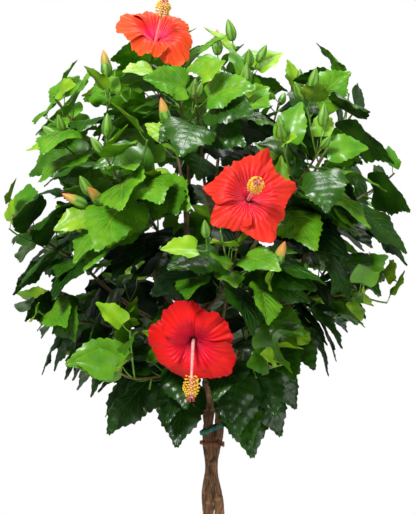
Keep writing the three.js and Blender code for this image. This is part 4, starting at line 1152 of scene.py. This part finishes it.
# ---------------------------------------------------------------- buds
def bud_rings(buds, shares, widths, start, reach):
    """Centres and radii of rings along each bud's axis, from `start` over `reach` of its length."""
    along = BUD["length"] * buds["size"][:, None] * (start + reach * shares)
    centres = buds["base"][:, None] + buds["direction"][:, None] * along[..., None]
    return centres, BUD["radius"] * buds["size"][:, None] * widths


BUD_SIDES = 15
BUD_REACH = {"closed": 1.03, "swelling": 0.96}    # how much of its length a bud's calyx covers
BUD_RIBS = 5 * even_turns(BUD_SIDES)


def add_bud_bodies(pile, buds, reach):
    """The calyx: round below, drawn in to a point, with five low ribs and paler stripes between them."""
    shares = np.linspace(0, 1, 15)
    widths = 1.15 * np.sin(np.pi * np.clip(shares * 0.94 + 0.05, 0, 1) ** 0.72) ** 0.8
    centres, radii = bud_rings(buds, shares, widths, -0.03, reach)
    ribs = np.cos(BUD_RIBS)[None, :] * np.sin(np.pi * shares)[:, None]
    add_tubes(pile, centres, radii, BUD_SIDES, 0.55 * ribs, tone=0.5 + 0.5 * np.cos(BUD_RIBS))


def add_bud_tips(pile, buds):
    """Furled petals that stand out of a swelling bud: a pointed cone with a twist of folds."""
    shares = np.linspace(0, 1, 14)
    widths = 0.98 * (1 - shares ** 1.7) ** 0.85
    centres, radii = bud_rings(buds, shares, widths, 0.5, 0.66)
    twist = np.cos(BUD_RIBS[None, :] + 4 * shares[:, None])
    tone = buds["warm"][:, None, None] * 0.3 + 0.6 * shares[:, None] + 0.15 * twist - 0.05
    add_tubes(pile, centres, radii, BUD_SIDES, 0.6 * twist * (1 - shares[:, None]), tone=tone)


BUD_BRACTS = {"count": 7, "length": 15, "width": 2.2, "spread": 0.75}
BLOOM_BRACTS = {"count": 8, "length": 15, "width": 2.4, "spread": 0.8}


def add_bracts(pile, bases, axes, sizes, count, length, width, spread):
    """Narrow pointed leaflets round the foot of a bud or bloom, arching outwards."""
    along = np.linspace(0, 1, 6)[None, :, None, None]
    across = np.linspace(-1, 1, 3)[None, None, :, None]
    shape = np.sin(np.pi * (0.12 + 0.88 * along)) ** 0.8
    size = sizes[:, None, None, None]
    reach = size * length * along
    arch = reach * (spread * (1 - 0.35 * along))
    for i in range(count):
        out = around(axes, 360 * i / count)
        side = np.cross(axes, out)[:, None, None]
        surface = (bases[:, None, None] + axes[:, None, None] * (reach * (1 - 0.3 * spread))
                   + out[:, None, None] * (arch + 2.0 * size) - side * across * shape * width * size / 2)
        add_sheets(pile, surface, 0.7, tone=0.7)


# ---------------------------------------------------------------- blooms
def five_fold(rows, columns):
    """Five like parts as one grid: the part's number, the share along it and, from -1 to 1, across it."""
    return np.meshgrid(np.arange(5), np.linspace(0, 1, rows + 1), np.linspace(-1, 1, columns + 1),
                       indexing="ij")


PETAL = {  # grid and thickness, the angle half a petal spans, and heights as shares of its radius
    "grid": (36, 44), "thickness": 0.9, "spans": (38, 47), "eye": 0.075, "wobble": 0.035,
    "crinkles": (0.02, 0.012), "funnel": 0.22, "rise": 0.07, "back": (0.16, 0.13), "overlap": 0.06,
    "crumple": 0.022, "folds": 0.010, "trough": 0.06}


def petal_surface(bloom, ruffle, lobe, point):
    """Five petals as one array. Each is a sheet in radius and bearing about the bloom's axis: a funnel
    from the calyx to the throat, then a spreading blade that turns back at its margin, lies over its
    neighbour on one side, and is creased by fine radial folds and a wavy margin drawn out to a point."""
    petal, u, v = five_fold(*PETAL["grid"])
    phase = petal * 2.4 + bloom["roll"]
    radius = bloom["radius"] * (0.97 + 0.055 * np.sin(1.7 * phase))
    tip = np.exp(-((v + 0.3 * np.sin(phase)) / 0.24) ** 2)
    coarse, fine = PETAL["crinkles"]
    crinkle = coarse * np.sin(13 * v + 2 * phase) + fine * np.sin(31 * v + phase)
    wobble = PETAL["wobble"] * np.sin(4.5 * v + phase)
    margin = 1 - point - lobe * np.abs(v) ** 2.6 + wobble + 1.5 * point * tip + crinkle
    outward = np.maximum(0, (u - 0.12) / 0.88) ** 1.12
    flat = radius * lerp(PETAL["eye"], 1.0, outward) * lerp(1, margin, u ** 2)
    share = flat / radius
    bearing = np.radians(bloom["roll"] + 72 * petal + v * lerp(*PETAL["spans"], smooth(u, 0.15, 0.6)))
    funnel = -BLOOM["tube"] * (1 - smooth(u, -0.35, 0.3)) ** 1.2
    funnel = funnel - PETAL["funnel"] * radius * (1 - smooth(share, 0.05, 0.55))
    back = PETAL["back"][0] + PETAL["back"][1] * np.sin(1.9 * phase)
    turned_back = PETAL["rise"] * smooth(share, 0.2, 0.62) - back * smooth(share, 0.55, 1.08)
    overlap = PETAL["overlap"] * v * smooth(share, 0.12, 0.5)
    waves = np.sin(6.5 * v + phase) + 0.6 * np.sin(14 * v + 2.3 * phase + 3 * share)
    waves = ruffle * share ** 2.5 * waves * (0.75 + 0.25 * np.cos(phase * 3))
    crumple = PETAL["crumple"] * smooth(share, 0.6, 1) * np.sin(34 * v + 4 * np.sin(3 * v + phase))
    folds = np.cos(26 * v + 1.5 * np.sin(5 * share + phase)) * np.sin(np.pi * np.clip(share, 0, 1))
    folds = PETAL["folds"] * folds
    trough = PETAL["trough"] * (1 - v ** 2) * smooth(share, 0.1, 0.9)
    rise = funnel + radius * (turned_back + overlap + waves + crumple + folds - trough)
    out = spokes(bloom["facing"], bearing)
    return bloom["throat"] + out * flat[..., None] + bloom["facing"] * rise[..., None], u, v


def add_petals(pile, bloom, ruffle, lobe, point):
    """Petals of an even thickness, whose points carry how far out and across they are for the veins."""
    points, u, v = petal_surface(bloom, ruffle, lobe, point)
    add_sheets(pile, points, PETAL["thickness"], False, radial=u, across=v)


def column_path(bloom):
    """The column's run from inside the funnel to its tip, which may sink."""
    end = bloom["throat"] + bloom["facing"] * (bloom["column"] - bloom["fall"] * 0.55) - UP * bloom["fall"]
    start = bloom["throat"] - bloom["facing"] * BLOOM["tube"] * 0.8
    return bezier(start, bloom["facing"], end, unit(end - bloom["throat"]), 0.3)


ANTHERS = {"count": 84, "from": 0.7, "forward": 0.25, "radius": 1.6, "stalk": 0.32}
STIGMAS = {"count": 5, "forward": 7, "out": 4.6, "radius": 1.9, "stalk": 0.55}
FLATTENED = 0.8                                   # a grain's height, as a share of its width


def anther_places(bloom):
    """Where the anthers stand on the column: on its outer part, all round, closer towards the tip."""
    number = np.arange(ANTHERS["count"])
    share = lerp(ANTHERS["from"], 1, (number / ANTHERS["count"]) ** 0.8)
    path = column_path(bloom)
    centre, tangent = path.at(share), path.tangent(share)
    out = unit(spokes(tangent, np.radians(GOLDEN_ANGLE) * number) + tangent * ANTHERS["forward"])
    swelling = 0.55 + 0.55 * np.sin(np.pi * (share - 0.62) / 0.4)
    reach = BLOOM["head_radius"] * swelling * (0.85 + 0.3 * np.abs(np.sin(number * 1.7)))
    return centre, centre + out * reach[:, None]


def add_balls(pile, centres, radius):
    """Small flattened round grains of five rings by eight."""
    shares = np.linspace(0.04, 0.96, 5)
    rings = centres[:, None] + UP * (-np.cos(np.pi * shares) * radius * FLATTENED)[None, :, None]
    add_tubes(pile, rings, np.sin(np.pi * shares) * radius, 8)


def stigma_places(bloom):
    """Five short styles that part at the column's tip."""
    path = column_path(bloom)
    tip, tangent = path.at(1.0), path.tangent(1.0)
    turn = np.radians(72 * np.arange(STIGMAS["count"]) + bloom["roll"])
    return tip, tip + tangent * STIGMAS["forward"] + spokes(tangent, turn) * STIGMAS["out"]


def sepal_surface(bloom):
    """Five sepals grown together below and parted above, round the foot of the funnel."""
    sepal, u, v = five_fold(10, 8)
    reach = lerp(2.2, BLOOM["calyx_radius"], np.sin(np.pi / 2 * np.clip(u * 1.5, 0, 1))) + 2.6 * u ** 3
    bearing = np.radians(bloom["roll"] + 36 + 72 * sepal + v * lerp(37, 4, smooth(u, 0.45, 1.0)))
    return (bloom["calyx_foot"] + spokes(bloom["facing"], bearing) * reach[..., None]
            + bloom["facing"] * (u * BLOOM["calyx"] * 1.25)[..., None])


# ---------------------------------------------------------------- ties
def plait_reach(turn, height):
    """How far the plait reaches in level directions: the furthest of the three round stems."""
    direction = np.stack([np.cos(turn), np.sin(turn)], axis=-1)
    reach = np.full(len(turn), -1e9)
    for index in range(3):
        for step in (-5, 0, 5):
            centre = plaited_stem(index).formula((np.asarray(height) + step) / FORK_HEIGHT)
            reach = np.maximum(reach, np.sum(centre[..., :2] * direction, axis=-1))
    return reach + lerp(STEM_RADIUS["foot"], STEM_RADIUS["top"], height / FORK_HEIGHT)


def tie_loop(tie, turn, out):
    """Points of a tilted loop drawn round the plait, a little further out than the clearance."""
    slope, clearance = math.tan(math.radians(tie["tilt"])), TIE_CLEARANCE + out
    level = plait_reach(turn, np.full(len(turn), float(tie["height"]))) + clearance
    reach = plait_reach(turn, tie["height"] + level * np.cos(turn) * slope) + clearance
    x = reach * np.cos(turn)
    return np.stack([x, reach * np.sin(turn), tie["height"] + x * slope], axis=-1)


TIE_TURN = np.linspace(0, 2 * np.pi, 97)


def knot_place(tie):
    """Where a tie is knotted: the point of its loop at the knot's bearing."""
    return tie_loop(tie, np.radians([tie["knot"]]), tie["knot_out"])[0]


def add_tape(pile):
    """Two tilted layers of tape, a knot, and loose ends that widen as they bend away from it."""
    edge = UP * (TAPE_TIE["width"] / 2 * np.linspace(-1, 1, 7))[None, None, :, None]
    for out, rise in TAPE_TIE["layers"]:
        loop = tie_loop(TAPE_TIE, TIE_TURN, out) + UP * rise
        add_sheets(pile, loop[None, :, None] + edge, TAPE_TIE["thickness"], False)
    knot, out = knot_place(TAPE_TIE), polar(TAPE_TIE["knot"], 1, 0)
    for tail in TAPE_TIE["tails"]:
        path = bezier(knot, out, knot + vec(*tail), vec(0.3, 0, math.copysign(1, tail[2])))
        centres = path.at(np.linspace(0, 1, 14))
        half = np.linspace(*TAPE_TIE["tail_half"], 14)[:, None, None] * np.linspace(-1, 1, 5)[None, :, None]
        side = unit(np.cross(np.gradient(centres, axis=0), out))[:, None]
        add_sheets(pile, (centres[:, None] + side * half)[None], TAPE_TIE["thickness"], False)
    add_balls(pile, np.array([knot, knot + vec(1.5, -1, 2)]), TAPE_TIE["knot_radius"])


def add_wire(pile):
    """Turns of wire, nearly level, and its two ends wound round each other as a helix where they meet."""
    for rise in WIRE_TIE["rises"]:
        loop = tie_loop(WIRE_TIE, TIE_TURN[:-1], WIRE_TIE["out"]) + UP * rise
        closed = np.concatenate([loop, loop[:1]])
        add_tubes(pile, closed[None], np.full(len(closed), WIRE_TIE["radius"]), 8, level=UP[None, None])
    share = np.linspace(0, 1, 40)
    line = knot_place(WIRE_TIE) + (share * WIRE_TIE["twist"])[:, None] * vec(0.85, -0.4, -0.35)
    for side in (0, np.pi):
        turn = share * WIRE_TIE["turns"] + side
        coil = WIRE_TIE["coil"] * np.stack([np.cos(turn), np.sin(turn) * 0.5, np.sin(turn)], axis=-1)
        add_tubes(pile, (line + coil)[None], np.full(len(share), WIRE_TIE["end_radius"]), 6)


# ---------------------------------------------------------------- settings and operators
class ShrubSizes(bpy.types.PropertyGroup):
    """The sizes of the leaves and of the petals' waves."""
    leaf: bpy.props.FloatProperty(
        name="Leaf", description="Length of a full-grown leaf", default=110 * MM, unit="LENGTH")
    young_leaf: bpy.props.FloatProperty(
        name="Young leaf", description="Length of a leaf at a shoot's tip", default=50 * MM, unit="LENGTH")
    spacing: bpy.props.FloatProperty(
        name="Leaf spacing", description="Distance between leaves on a shoot", default=19.6 * MM,
        unit="LENGTH")
    ruffle: bpy.props.FloatProperty(
        name="Ruffle", description="Height of the petals' waves, as a share of their radius", default=0.07,
        subtype="FACTOR")


def colour_setting(name, description, hex_colour):
    """A colour that a user may change, with its default."""
    return bpy.props.FloatVectorProperty(
        name=name, description=description, default=linear(hex_colour), size=4, min=0, max=1, subtype="COLOR")


class ShrubColours(bpy.types.PropertyGroup):
    """The main colours: the lighter one of each leaf tint, the bark's skin, the ties and the floor. Past the
    young leaf, the leaf tints are painted light and shade by place in the crown.
    """
    young_leaf: colour_setting("Young leaf", "Leaves at the shoots' tips", "#93bd20")
    bright_leaf: colour_setting("Bright leaf", "Leaves in full light", "#679f18")
    fresh_leaf: colour_setting("Fresh leaf", "Full-grown leaves in good light", "#46790f")
    mid_leaf: colour_setting("Middle leaf", "Leaves halfway down the crown", "#305e0c")
    # Deep leaf is painted shade: full-grown leaves low in the crown, darker because of where they hang, not
    # because of their age.
    deep_leaf: colour_setting("Deep leaf", "Old leaves low in the crown", "#21480c")
    # Shade leaf is painted shade for the leaves inside the crown.
    shade_leaf: colour_setting("Shade leaf", "Leaves inside the crown", "#0d2806")
    trunk: colour_setting("Trunk", "Bark of the trunk and leaders", "#5e3d24")
    boughs: colour_setting("Boughs", "Bark of the boughs", "#6a5130")
    tape: colour_setting("Tape", "The tape round the trunk", "#0d5f52")
    wire: colour_setting("Wire", "The wire round the trunk", "#7c3d1c")
    floor: colour_setting("Floor", "The floor under the plant", "#efefed")


class ShrubStage(bpy.types.PropertyGroup):
    """The camera and the light."""
    distance: bpy.props.FloatProperty(
        name="Camera distance", description="From the camera to the crown", default=2.6, unit="LENGTH")
    elevation: bpy.props.FloatProperty(
        name="Camera height angle", description="How far the camera looks down", default=math.radians(1.5),
        subtype="ANGLE")
    view_height: bpy.props.FloatProperty(
        name="View height", description="What the picture's long side takes in", default=0.771, unit="LENGTH")


class SHRUB_OT_bark(bpy.types.Operator):
    """Make the plaited trunk, its flare, the leaders and the boughs"""
    bl_idname = "shrub.bark"
    bl_label = "Trunk and boughs"

    def execute(self, context):
        colours = context.scene.shrub_colours
        # Old cork: brown, dry and split, so that the plait reads as wood that has grown for years.
        old = bark_finish("split_brown_bark", "#140b06", colours.trunk, "#a37d56", 0.82)
        trunk = Pile()
        for index in range(3):
            centres, radii = stem_and_leader(index)
            add_bark_limb(trunk, centres, radii, TRUNK_SKIN, index + 1)
        trunk.points = [np.maximum(points, (-1e9, -1e9, 0)) for points in trunk.points]
        add_collar(trunk)
        trunk.make("trunk_bark", old, "bark", "trunk", "leader_back", "leader_right", "leader_front")
        # Young bark: thinner and greener than the trunk's, with a little more shine.
        young = bark_finish("young_green_brown_bark", "#2a1d0e", colours.boughs, "#7f7a45", 0.68)
        limbs = Pile()
        for number, bough in enumerate(boughs):
            centres = resample(bough["path"], BOUGH_SKIN["step"])
            radii = lerp(*bough["radii"], np.linspace(0, 1, len(centres)))
            add_bark_limb(limbs, centres, radii, BOUGH_SKIN, number + BOUGH_SKIN["first_seed"])
        limbs.make("bough_bark", young, "bark", *["bough_" + mass["name"] for mass in masses])
        return {"FINISHED"}


class SHRUB_OT_twigs(bpy.types.Operator):
    """Make the shoots, fine twigs and leaf stalks"""
    bl_idname = "shrub.twigs"
    bl_label = "Twigs and stalks"

    def execute(self, context):
        woody, green = Pile(), Pile()
        knots = 1 + 0.16 * (np.arange(22) % 3 == 0)
        for grown in grown_plant():
            for number, shoot in enumerate(grown["shoots"]):
                centres = shoot["path"].at(np.linspace(0, last_growth(grown, shoot), len(knots)))
                thick = np.linspace(*shoot["radii"], len(knots)) * knots
                add_tubes(green if number else woody, centres[None], thick[None], 8)
        add_petioles(green, as_arrays(all_grown("leaves")))
        # Half-ripe wood: olive brown, so that the leading shoots show among the green ones.
        olive = twig_finish("olive_brown_shoot_skin", ["#5a4a26", "#6a6a30"])
        woody.make("woody_shoots", olive, "green_bark", *MASS_NODES)
        # This year's growth: smooth and green, half matt, as the leaf stalks are.
        fresh = twig_finish("green_twig_skin", ["#4d7a22", "#6f9a36"])
        green.make("green_twigs", fresh, "green_bark", *MASS_NODES)
        return {"FINISHED"}


# Past the young tint, the tints hold painted light and shade by place in the crown; the shade tint's
# near-black colours and lower shine stand for the shade inside it.
LEAF_TINTS = {  # the tissue's darker colour, its roughness, its cuticle's shine, its own, the veins' colour
    "young": ("#6a9f18", 0.42, 0.2, 0.3, "#b4cc58"),
    "bright": ("#468611", 0.4, 0.26, 0.3, "#8db53c"),
    "fresh": ("#316209", 0.38, 0.3, 0.3, "#5f9a2c"),
    "mid": ("#204808", 0.36, 0.32, 0.28, "#41801f"),
    "deep": ("#173607", 0.36, 0.3, 0.25, "#2c6217"),
    "shade": ("#081b04", 0.45, 0.12, 0.15, "#183c0c"),
}
LARGE_LEAF = 66                                   # from here on leaves have a finer grid, and veins
LEAF_GRIDS = {"large": (30, 8), "small": (18, 6)}


class SHRUB_OT_leaves(bpy.types.Operator):
    """Make the leaves, a piece for each tint, and their veins"""
    bl_idname = "shrub.leaves"
    bl_label = "Leaves"

    def execute(self, context):
        veins = Pile()
        for number, (tint, (dark, roughness, coat, specular, _)) in enumerate(LEAF_TINTS.items()):
            chosen = [leaf for leaf in all_grown("leaves") if tint_of(leaf) == tint]
            if not chosen:
                raise RuntimeError("no leaves of tint " + tint)
            large = [leaf for leaf in chosen if leaf["length"] >= LARGE_LEAF]
            small = [leaf for leaf in chosen if leaf["length"] < LARGE_LEAF]
            pile = Pile()
            if large:
                add_leaves(pile, as_arrays(large), *LEAF_GRIDS["large"])
                # The veins' tone is the tint's number, so they take on the same painted light and shade as
                # their leaves.
                add_veins(veins, as_arrays(large), number / (len(LEAF_TINTS) - 1))
            if small:
                add_leaves(pile, as_arrays(small), *LEAF_GRIDS["small"])
            colours = [getattr(context.scene.shrub_colours, tint + "_leaf"), dark]
            finish = leaf_finish(tint + "_waxy_leaf", colours, roughness, coat, specular)
            pile.make("leaves_" + tint, finish, "foliage", *MASS_NODES)
        # Veins: a little paler and less shiny than the blade, so that they draw its lines. Their tone follows
        # their leaf's tint, so they carry the same painted light and shade.
        finish = toned_finish("leaf_vein", [row[-1] for row in LEAF_TINTS.values()], 0.42)
        veins.make("leaf_veins", finish, "foliage", *MASS_NODES)
        return {"FINISHED"}


class SHRUB_OT_buds(bpy.types.Operator):
    """Make the closed buds, their coloured tips, bracts and stalks"""
    bl_idname = "shrub.buds"
    bl_label = "Buds"

    def execute(self, context):
        every = as_arrays(all_grown("buds"))
        closed, swelling = (as_arrays([bud for bud in all_grown("buds") if (bud["size"] > 1) == is_swelling])
                            for is_swelling in (False, True))
        calyx, tips, stalks = Pile(), Pile(), Pile()
        add_bud_bodies(calyx, closed, BUD_REACH["closed"])
        add_bud_bodies(calyx, swelling, BUD_REACH["swelling"])
        add_bracts(calyx, every["base"], every["direction"], every["size"], **BUD_BRACTS)
        add_bud_tips(tips, swelling)
        add_tubes(stalks, lerp(every["node"][:, None], every["base"][:, None], steps_along(7)),
                  1.05 * every["size"][:, None], 6)
        # Bud calyx: green tissue with paler stripes between its ribs, which make it look full and round.
        striped = toned_finish("striped_green_calyx", ["#9dc04a", "#5b9229", "#3d7a1c"], 0.45)
        calyx.make("bud_calyces", striped, "foliage", *MASS_NODES)
        # Rolled petals: matt and soft, from green over straw to red at the tip.
        furled = toned_finish("furled_orange_petal", ["#86a83c", "#d3a24c", "#cf5230"], 0.5)
        tips.make("bud_tips", furled, "petals", *MASS_NODES)
        # Bud stalks: the lightest green skin, since they are the youngest wood.
        skin = twig_finish("green_stalk_skin", ["#5f8f2b", "#77a53a"])
        stalks.make("bud_stalks", skin, "green_bark", *MASS_NODES)
        return {"FINISHED"}


PETAL_LOOKS = {  # places and colours from the eye to the margin, the veins' colour, lobe and point
    "bloom_top": ((0.0, 0.26, 0.42, 0.58, 1.0), ("#9a0a3c", "#ea1462", "#ea1c34", "#e6300f", "#ea5018"),
                  "#f98a6c", 0.2, 0.05),
    "bloom_middle": ((0.0, 0.2, 0.4, 0.6, 1.0), ("#6a0526", "#d0123c", "#dc1624", "#dc1c12", "#e0321c"),
                     "#f9808a", 0.17, 0.13),
    "bloom_low": ((0.0, 0.2, 0.38, 0.75, 1.0), ("#4a0418", "#b40c34", "#dc1032", "#e6160e", "#c40c0e"),
                  "#b80a1c", 0.24, 0.02),
}


class SHRUB_OT_blooms(bpy.types.Operator):
    """Make the open blooms: petals, columns, anthers, stigmas and calyces"""
    bl_idname = "shrub.blooms"
    bl_label = "Blooms"

    def execute(self, context):
        columns, anthers, stigmas, green = Pile(), Pile(), Pile(), Pile()
        for bloom in blooms:
            petals = Pile()
            places, colours, streak, lobe, point = PETAL_LOOKS[bloom["name"]]
            add_petals(petals, bloom, context.scene.shrub_sizes.ruffle, lobe, point)
            finish = petal_finish(bloom["name"] + "_petal", list(zip(places, colours)), streak)
            petals.make(bloom["name"].replace("bloom", "petals"), finish, "petals", bloom["name"])
            thick = BLOOM["column_radius"] * np.linspace(1.3, 0.7, 24)
            add_tubes(columns, column_path(bloom).at(np.linspace(0, 1, len(thick)))[None], thick[None], 12)
            roots, heads = anther_places(bloom)
            add_tubes(columns, lerp(roots[:, None], heads[:, None], steps_along(4)), ANTHERS["stalk"], 4)
            add_balls(anthers, heads, ANTHERS["radius"])
            tip, pads = stigma_places(bloom)
            add_tubes(columns, lerp(tip[None, None], pads[:, None], steps_along(5)), STIGMAS["stalk"], 5)
            add_balls(stigmas, pads, STIGMAS["radius"])
            add_sheets(green, sepal_surface(bloom), 1.0, False, tone=0.5)
            axis, foot = bloom["facing"][None], bloom["calyx_foot"][None]
            add_bracts(green, foot, axis, np.ones(1), **BLOOM_BRACTS)
            arriving = pedicel_direction(bloom["facing"])
            end = bloom["calyx_foot"] + bloom["facing"] * 2
            stalk = bezier(bloom["foot"], arriving, end, bloom["facing"])
            add_tubes(green, stalk.at(np.linspace(0, 1, 14))[None], np.linspace(1.7, 2.3, 14)[None], 10,
                      tone=0.6)
        nodes = [bloom["name"] for bloom in blooms]
        # Column: moist smooth tissue, so a soft shine on pale pink.
        pink = uneven_finish("pale_pink_column", ["#f2b8b0", "#ee8f86"], 5, **{"Roughness": 0.45})
        columns.make("bloom_columns", pink, "petals", *nodes)
        # Pollen: dry powder without shine, bright yellow from every side.
        yellow = uneven_finish("yellow_pollen", ["#f5d33a", "#f0b81c"], 2, **{"Roughness": 0.8})
        anthers.make("bloom_anthers", yellow, "petals", *nodes)
        # Stigma: short hairs that catch the light at the rim of each pad.
        velvet = {"Roughness": 0.7, "Sheen Weight": 0.4}
        red = uneven_finish("red_velvet_stigma", ["#c81c28", "#a81020"], 2, **velvet)
        stigmas.make("bloom_stigmas", red, "petals", *nodes)
        # Bloom calyx: the same green tissue as the buds', without their stripes.
        calyx = toned_finish("green_calyx", ["#8fb845", "#5b9229", "#3d7a1c"], 0.45)
        green.make("bloom_calyces", calyx, "foliage", *nodes)
        return {"FINISHED"}


class SHRUB_OT_ties(bpy.types.Operator):
    """Make the tape and the wire round the trunk"""
    bl_idname = "shrub.ties"
    bl_label = "Ties"

    def execute(self, context):
        colours, tape, wire = context.scene.shrub_colours, Pile(), Pile()
        add_tape(tape)
        # Tape: stretched plastic film, smooth, with a tight highlight.
        plastic = {"Roughness": 0.38, "IOR": 1.5}
        teal = uneven_finish("teal_plastic_tape", [colours.tape, "#13806c"], 8, **plastic)
        tape.make("tape_tie_bands", teal, "tie_tape", "tape_tie")
        add_wire(wire)
        # Wire: a thin plastic coat on an even round core, with a dull highlight.
        coating = {"Roughness": 0.45, "IOR": 1.5}
        brown = uneven_finish("rust_brown_coated_wire", [colours.wire, "#9a5527"], 4, **coating)
        wire.make("wire_tie_turns", brown, "tie_wire", "wire_tie")
        return {"FINISHED"}


LIGHTS = [  # name, place, size, power, as metres and watts
    ("key", (-1.1, -1.9, 2.3), 0.7, 80),
    ("fill", (1.7, -1.9, 0.6), 1.6, 21),
    ("top", (0.3, 0.2, 2.7), 1.0, 34),
    ("back", (0.4, 1.6, 2.6), 1.4, 10),
]
SKY_LIGHT = 0.2                                   # the camera sees the studio's white at full strength
FLOOR_RADIUS = 1.15
AIM = (-0.006, 0.0, 0.6655)


class SHRUB_OT_stage(bpy.types.Operator):
    """Make the floor, the lights and the camera"""
    bl_idname = "shrub.stage"
    bl_label = "Stage"

    def execute(self, context):
        scene, settings = context.scene, context.scene.shrub_stage
        turn = even_turns(96)
        rim = FLOOR_RADIUS * np.stack([np.cos(turn), np.sin(turn), 0 * turn], axis=-1)
        mesh = bpy.data.meshes.new("floor")
        mesh.from_pydata(rim.tolist(), [], [list(range(len(rim)))])
        # Floor: matt board that takes soft shadows and no reflection.
        matt = {"Base Color": scene.shrub_colours.floor, "Roughness": 0.9}
        mesh.materials.append(new_material("pale_matt_floor", **matt)[0])
        floor = bpy.data.objects.new("floor", mesh)
        context.collection.objects.link(floor)
        aim = Vector(AIM)
        for name, place, size, power in LIGHTS:
            light = bpy.data.lights.new(name + "_softbox", "AREA")
            light.shape, light.size, light.energy = "DISK", size, power
            lamp = bpy.data.objects.new(name + "_softbox", light)
            lamp.location = place
            lamp.rotation_euler = (aim - lamp.location).to_track_quat("-Z", "Y").to_euler()
            context.collection.objects.link(lamp)
        world = bpy.data.worlds.new("white_studio")
        world.use_nodes = True
        scene.world = world
        background = world.node_tree.nodes["Background"]
        background.inputs["Color"].default_value = (1, 1, 1, 1)
        rays = add_node(world, "ShaderNodeLightPath")
        strength = add_node(world, "ShaderNodeMapRange", [("To Min", SKY_LIGHT)],
                            [("Value", rays.outputs["Is Camera Ray"])])
        world.node_tree.links.new(strength.outputs["Result"], background.inputs["Strength"])
        scene.view_settings.view_transform = "Standard"
        camera = bpy.data.cameras.new("camera")
        camera.sensor_width = 36
        camera.lens = camera.sensor_width * settings.distance / settings.view_height
        camera_object = bpy.data.objects.new("camera", camera)
        back = Vector((0, -math.cos(settings.elevation), math.sin(settings.elevation)))
        camera_object.location = aim + back * settings.distance
        camera_object.rotation_euler = (-back).to_track_quat("-Z", "Y").to_euler()
        context.collection.objects.link(camera_object)
        scene.camera = camera_object
        return {"FINISHED"}


OPERATORS = [SHRUB_OT_stage, SHRUB_OT_bark, SHRUB_OT_twigs, SHRUB_OT_leaves, SHRUB_OT_buds, SHRUB_OT_blooms,
             SHRUB_OT_ties]


class SHRUB_PT_panel(bpy.types.Panel):
    """The shrub's sizes and the steps that make it"""
    bl_label = "Hibiscus shrub"
    bl_idname = "SHRUB_PT_panel"
    bl_space_type = "VIEW_3D"
    bl_region_type = "UI"
    bl_category = "Shrub"

    def draw(self, context):
        scene = context.scene
        for group in (scene.shrub_sizes, scene.shrub_colours, scene.shrub_stage):
            for name in group.__annotations__:
                self.layout.prop(group, name)
        for operator in OPERATORS:
            self.layout.operator(operator.bl_idname)


GROUPS = {"shrub_sizes": ShrubSizes, "shrub_colours": ShrubColours, "shrub_stage": ShrubStage}
CLASSES = [*GROUPS.values(), *OPERATORS, SHRUB_PT_panel]


def register():
    for one in CLASSES:
        bpy.utils.register_class(one)
    for name, group in GROUPS.items():
        setattr(bpy.types.Scene, name, bpy.props.PointerProperty(type=group))


def unregister():
    for name in GROUPS:
        delattr(bpy.types.Scene, name)
    for one in reversed(CLASSES):
        bpy.utils.unregister_class(one)


def main():
    """Runs every step in order."""
    register()
    for operator in OPERATORS:
        group, name = operator.bl_idname.split(".")
        getattr(getattr(bpy.ops, group), name)()


if __name__ == "__main__":
    main()
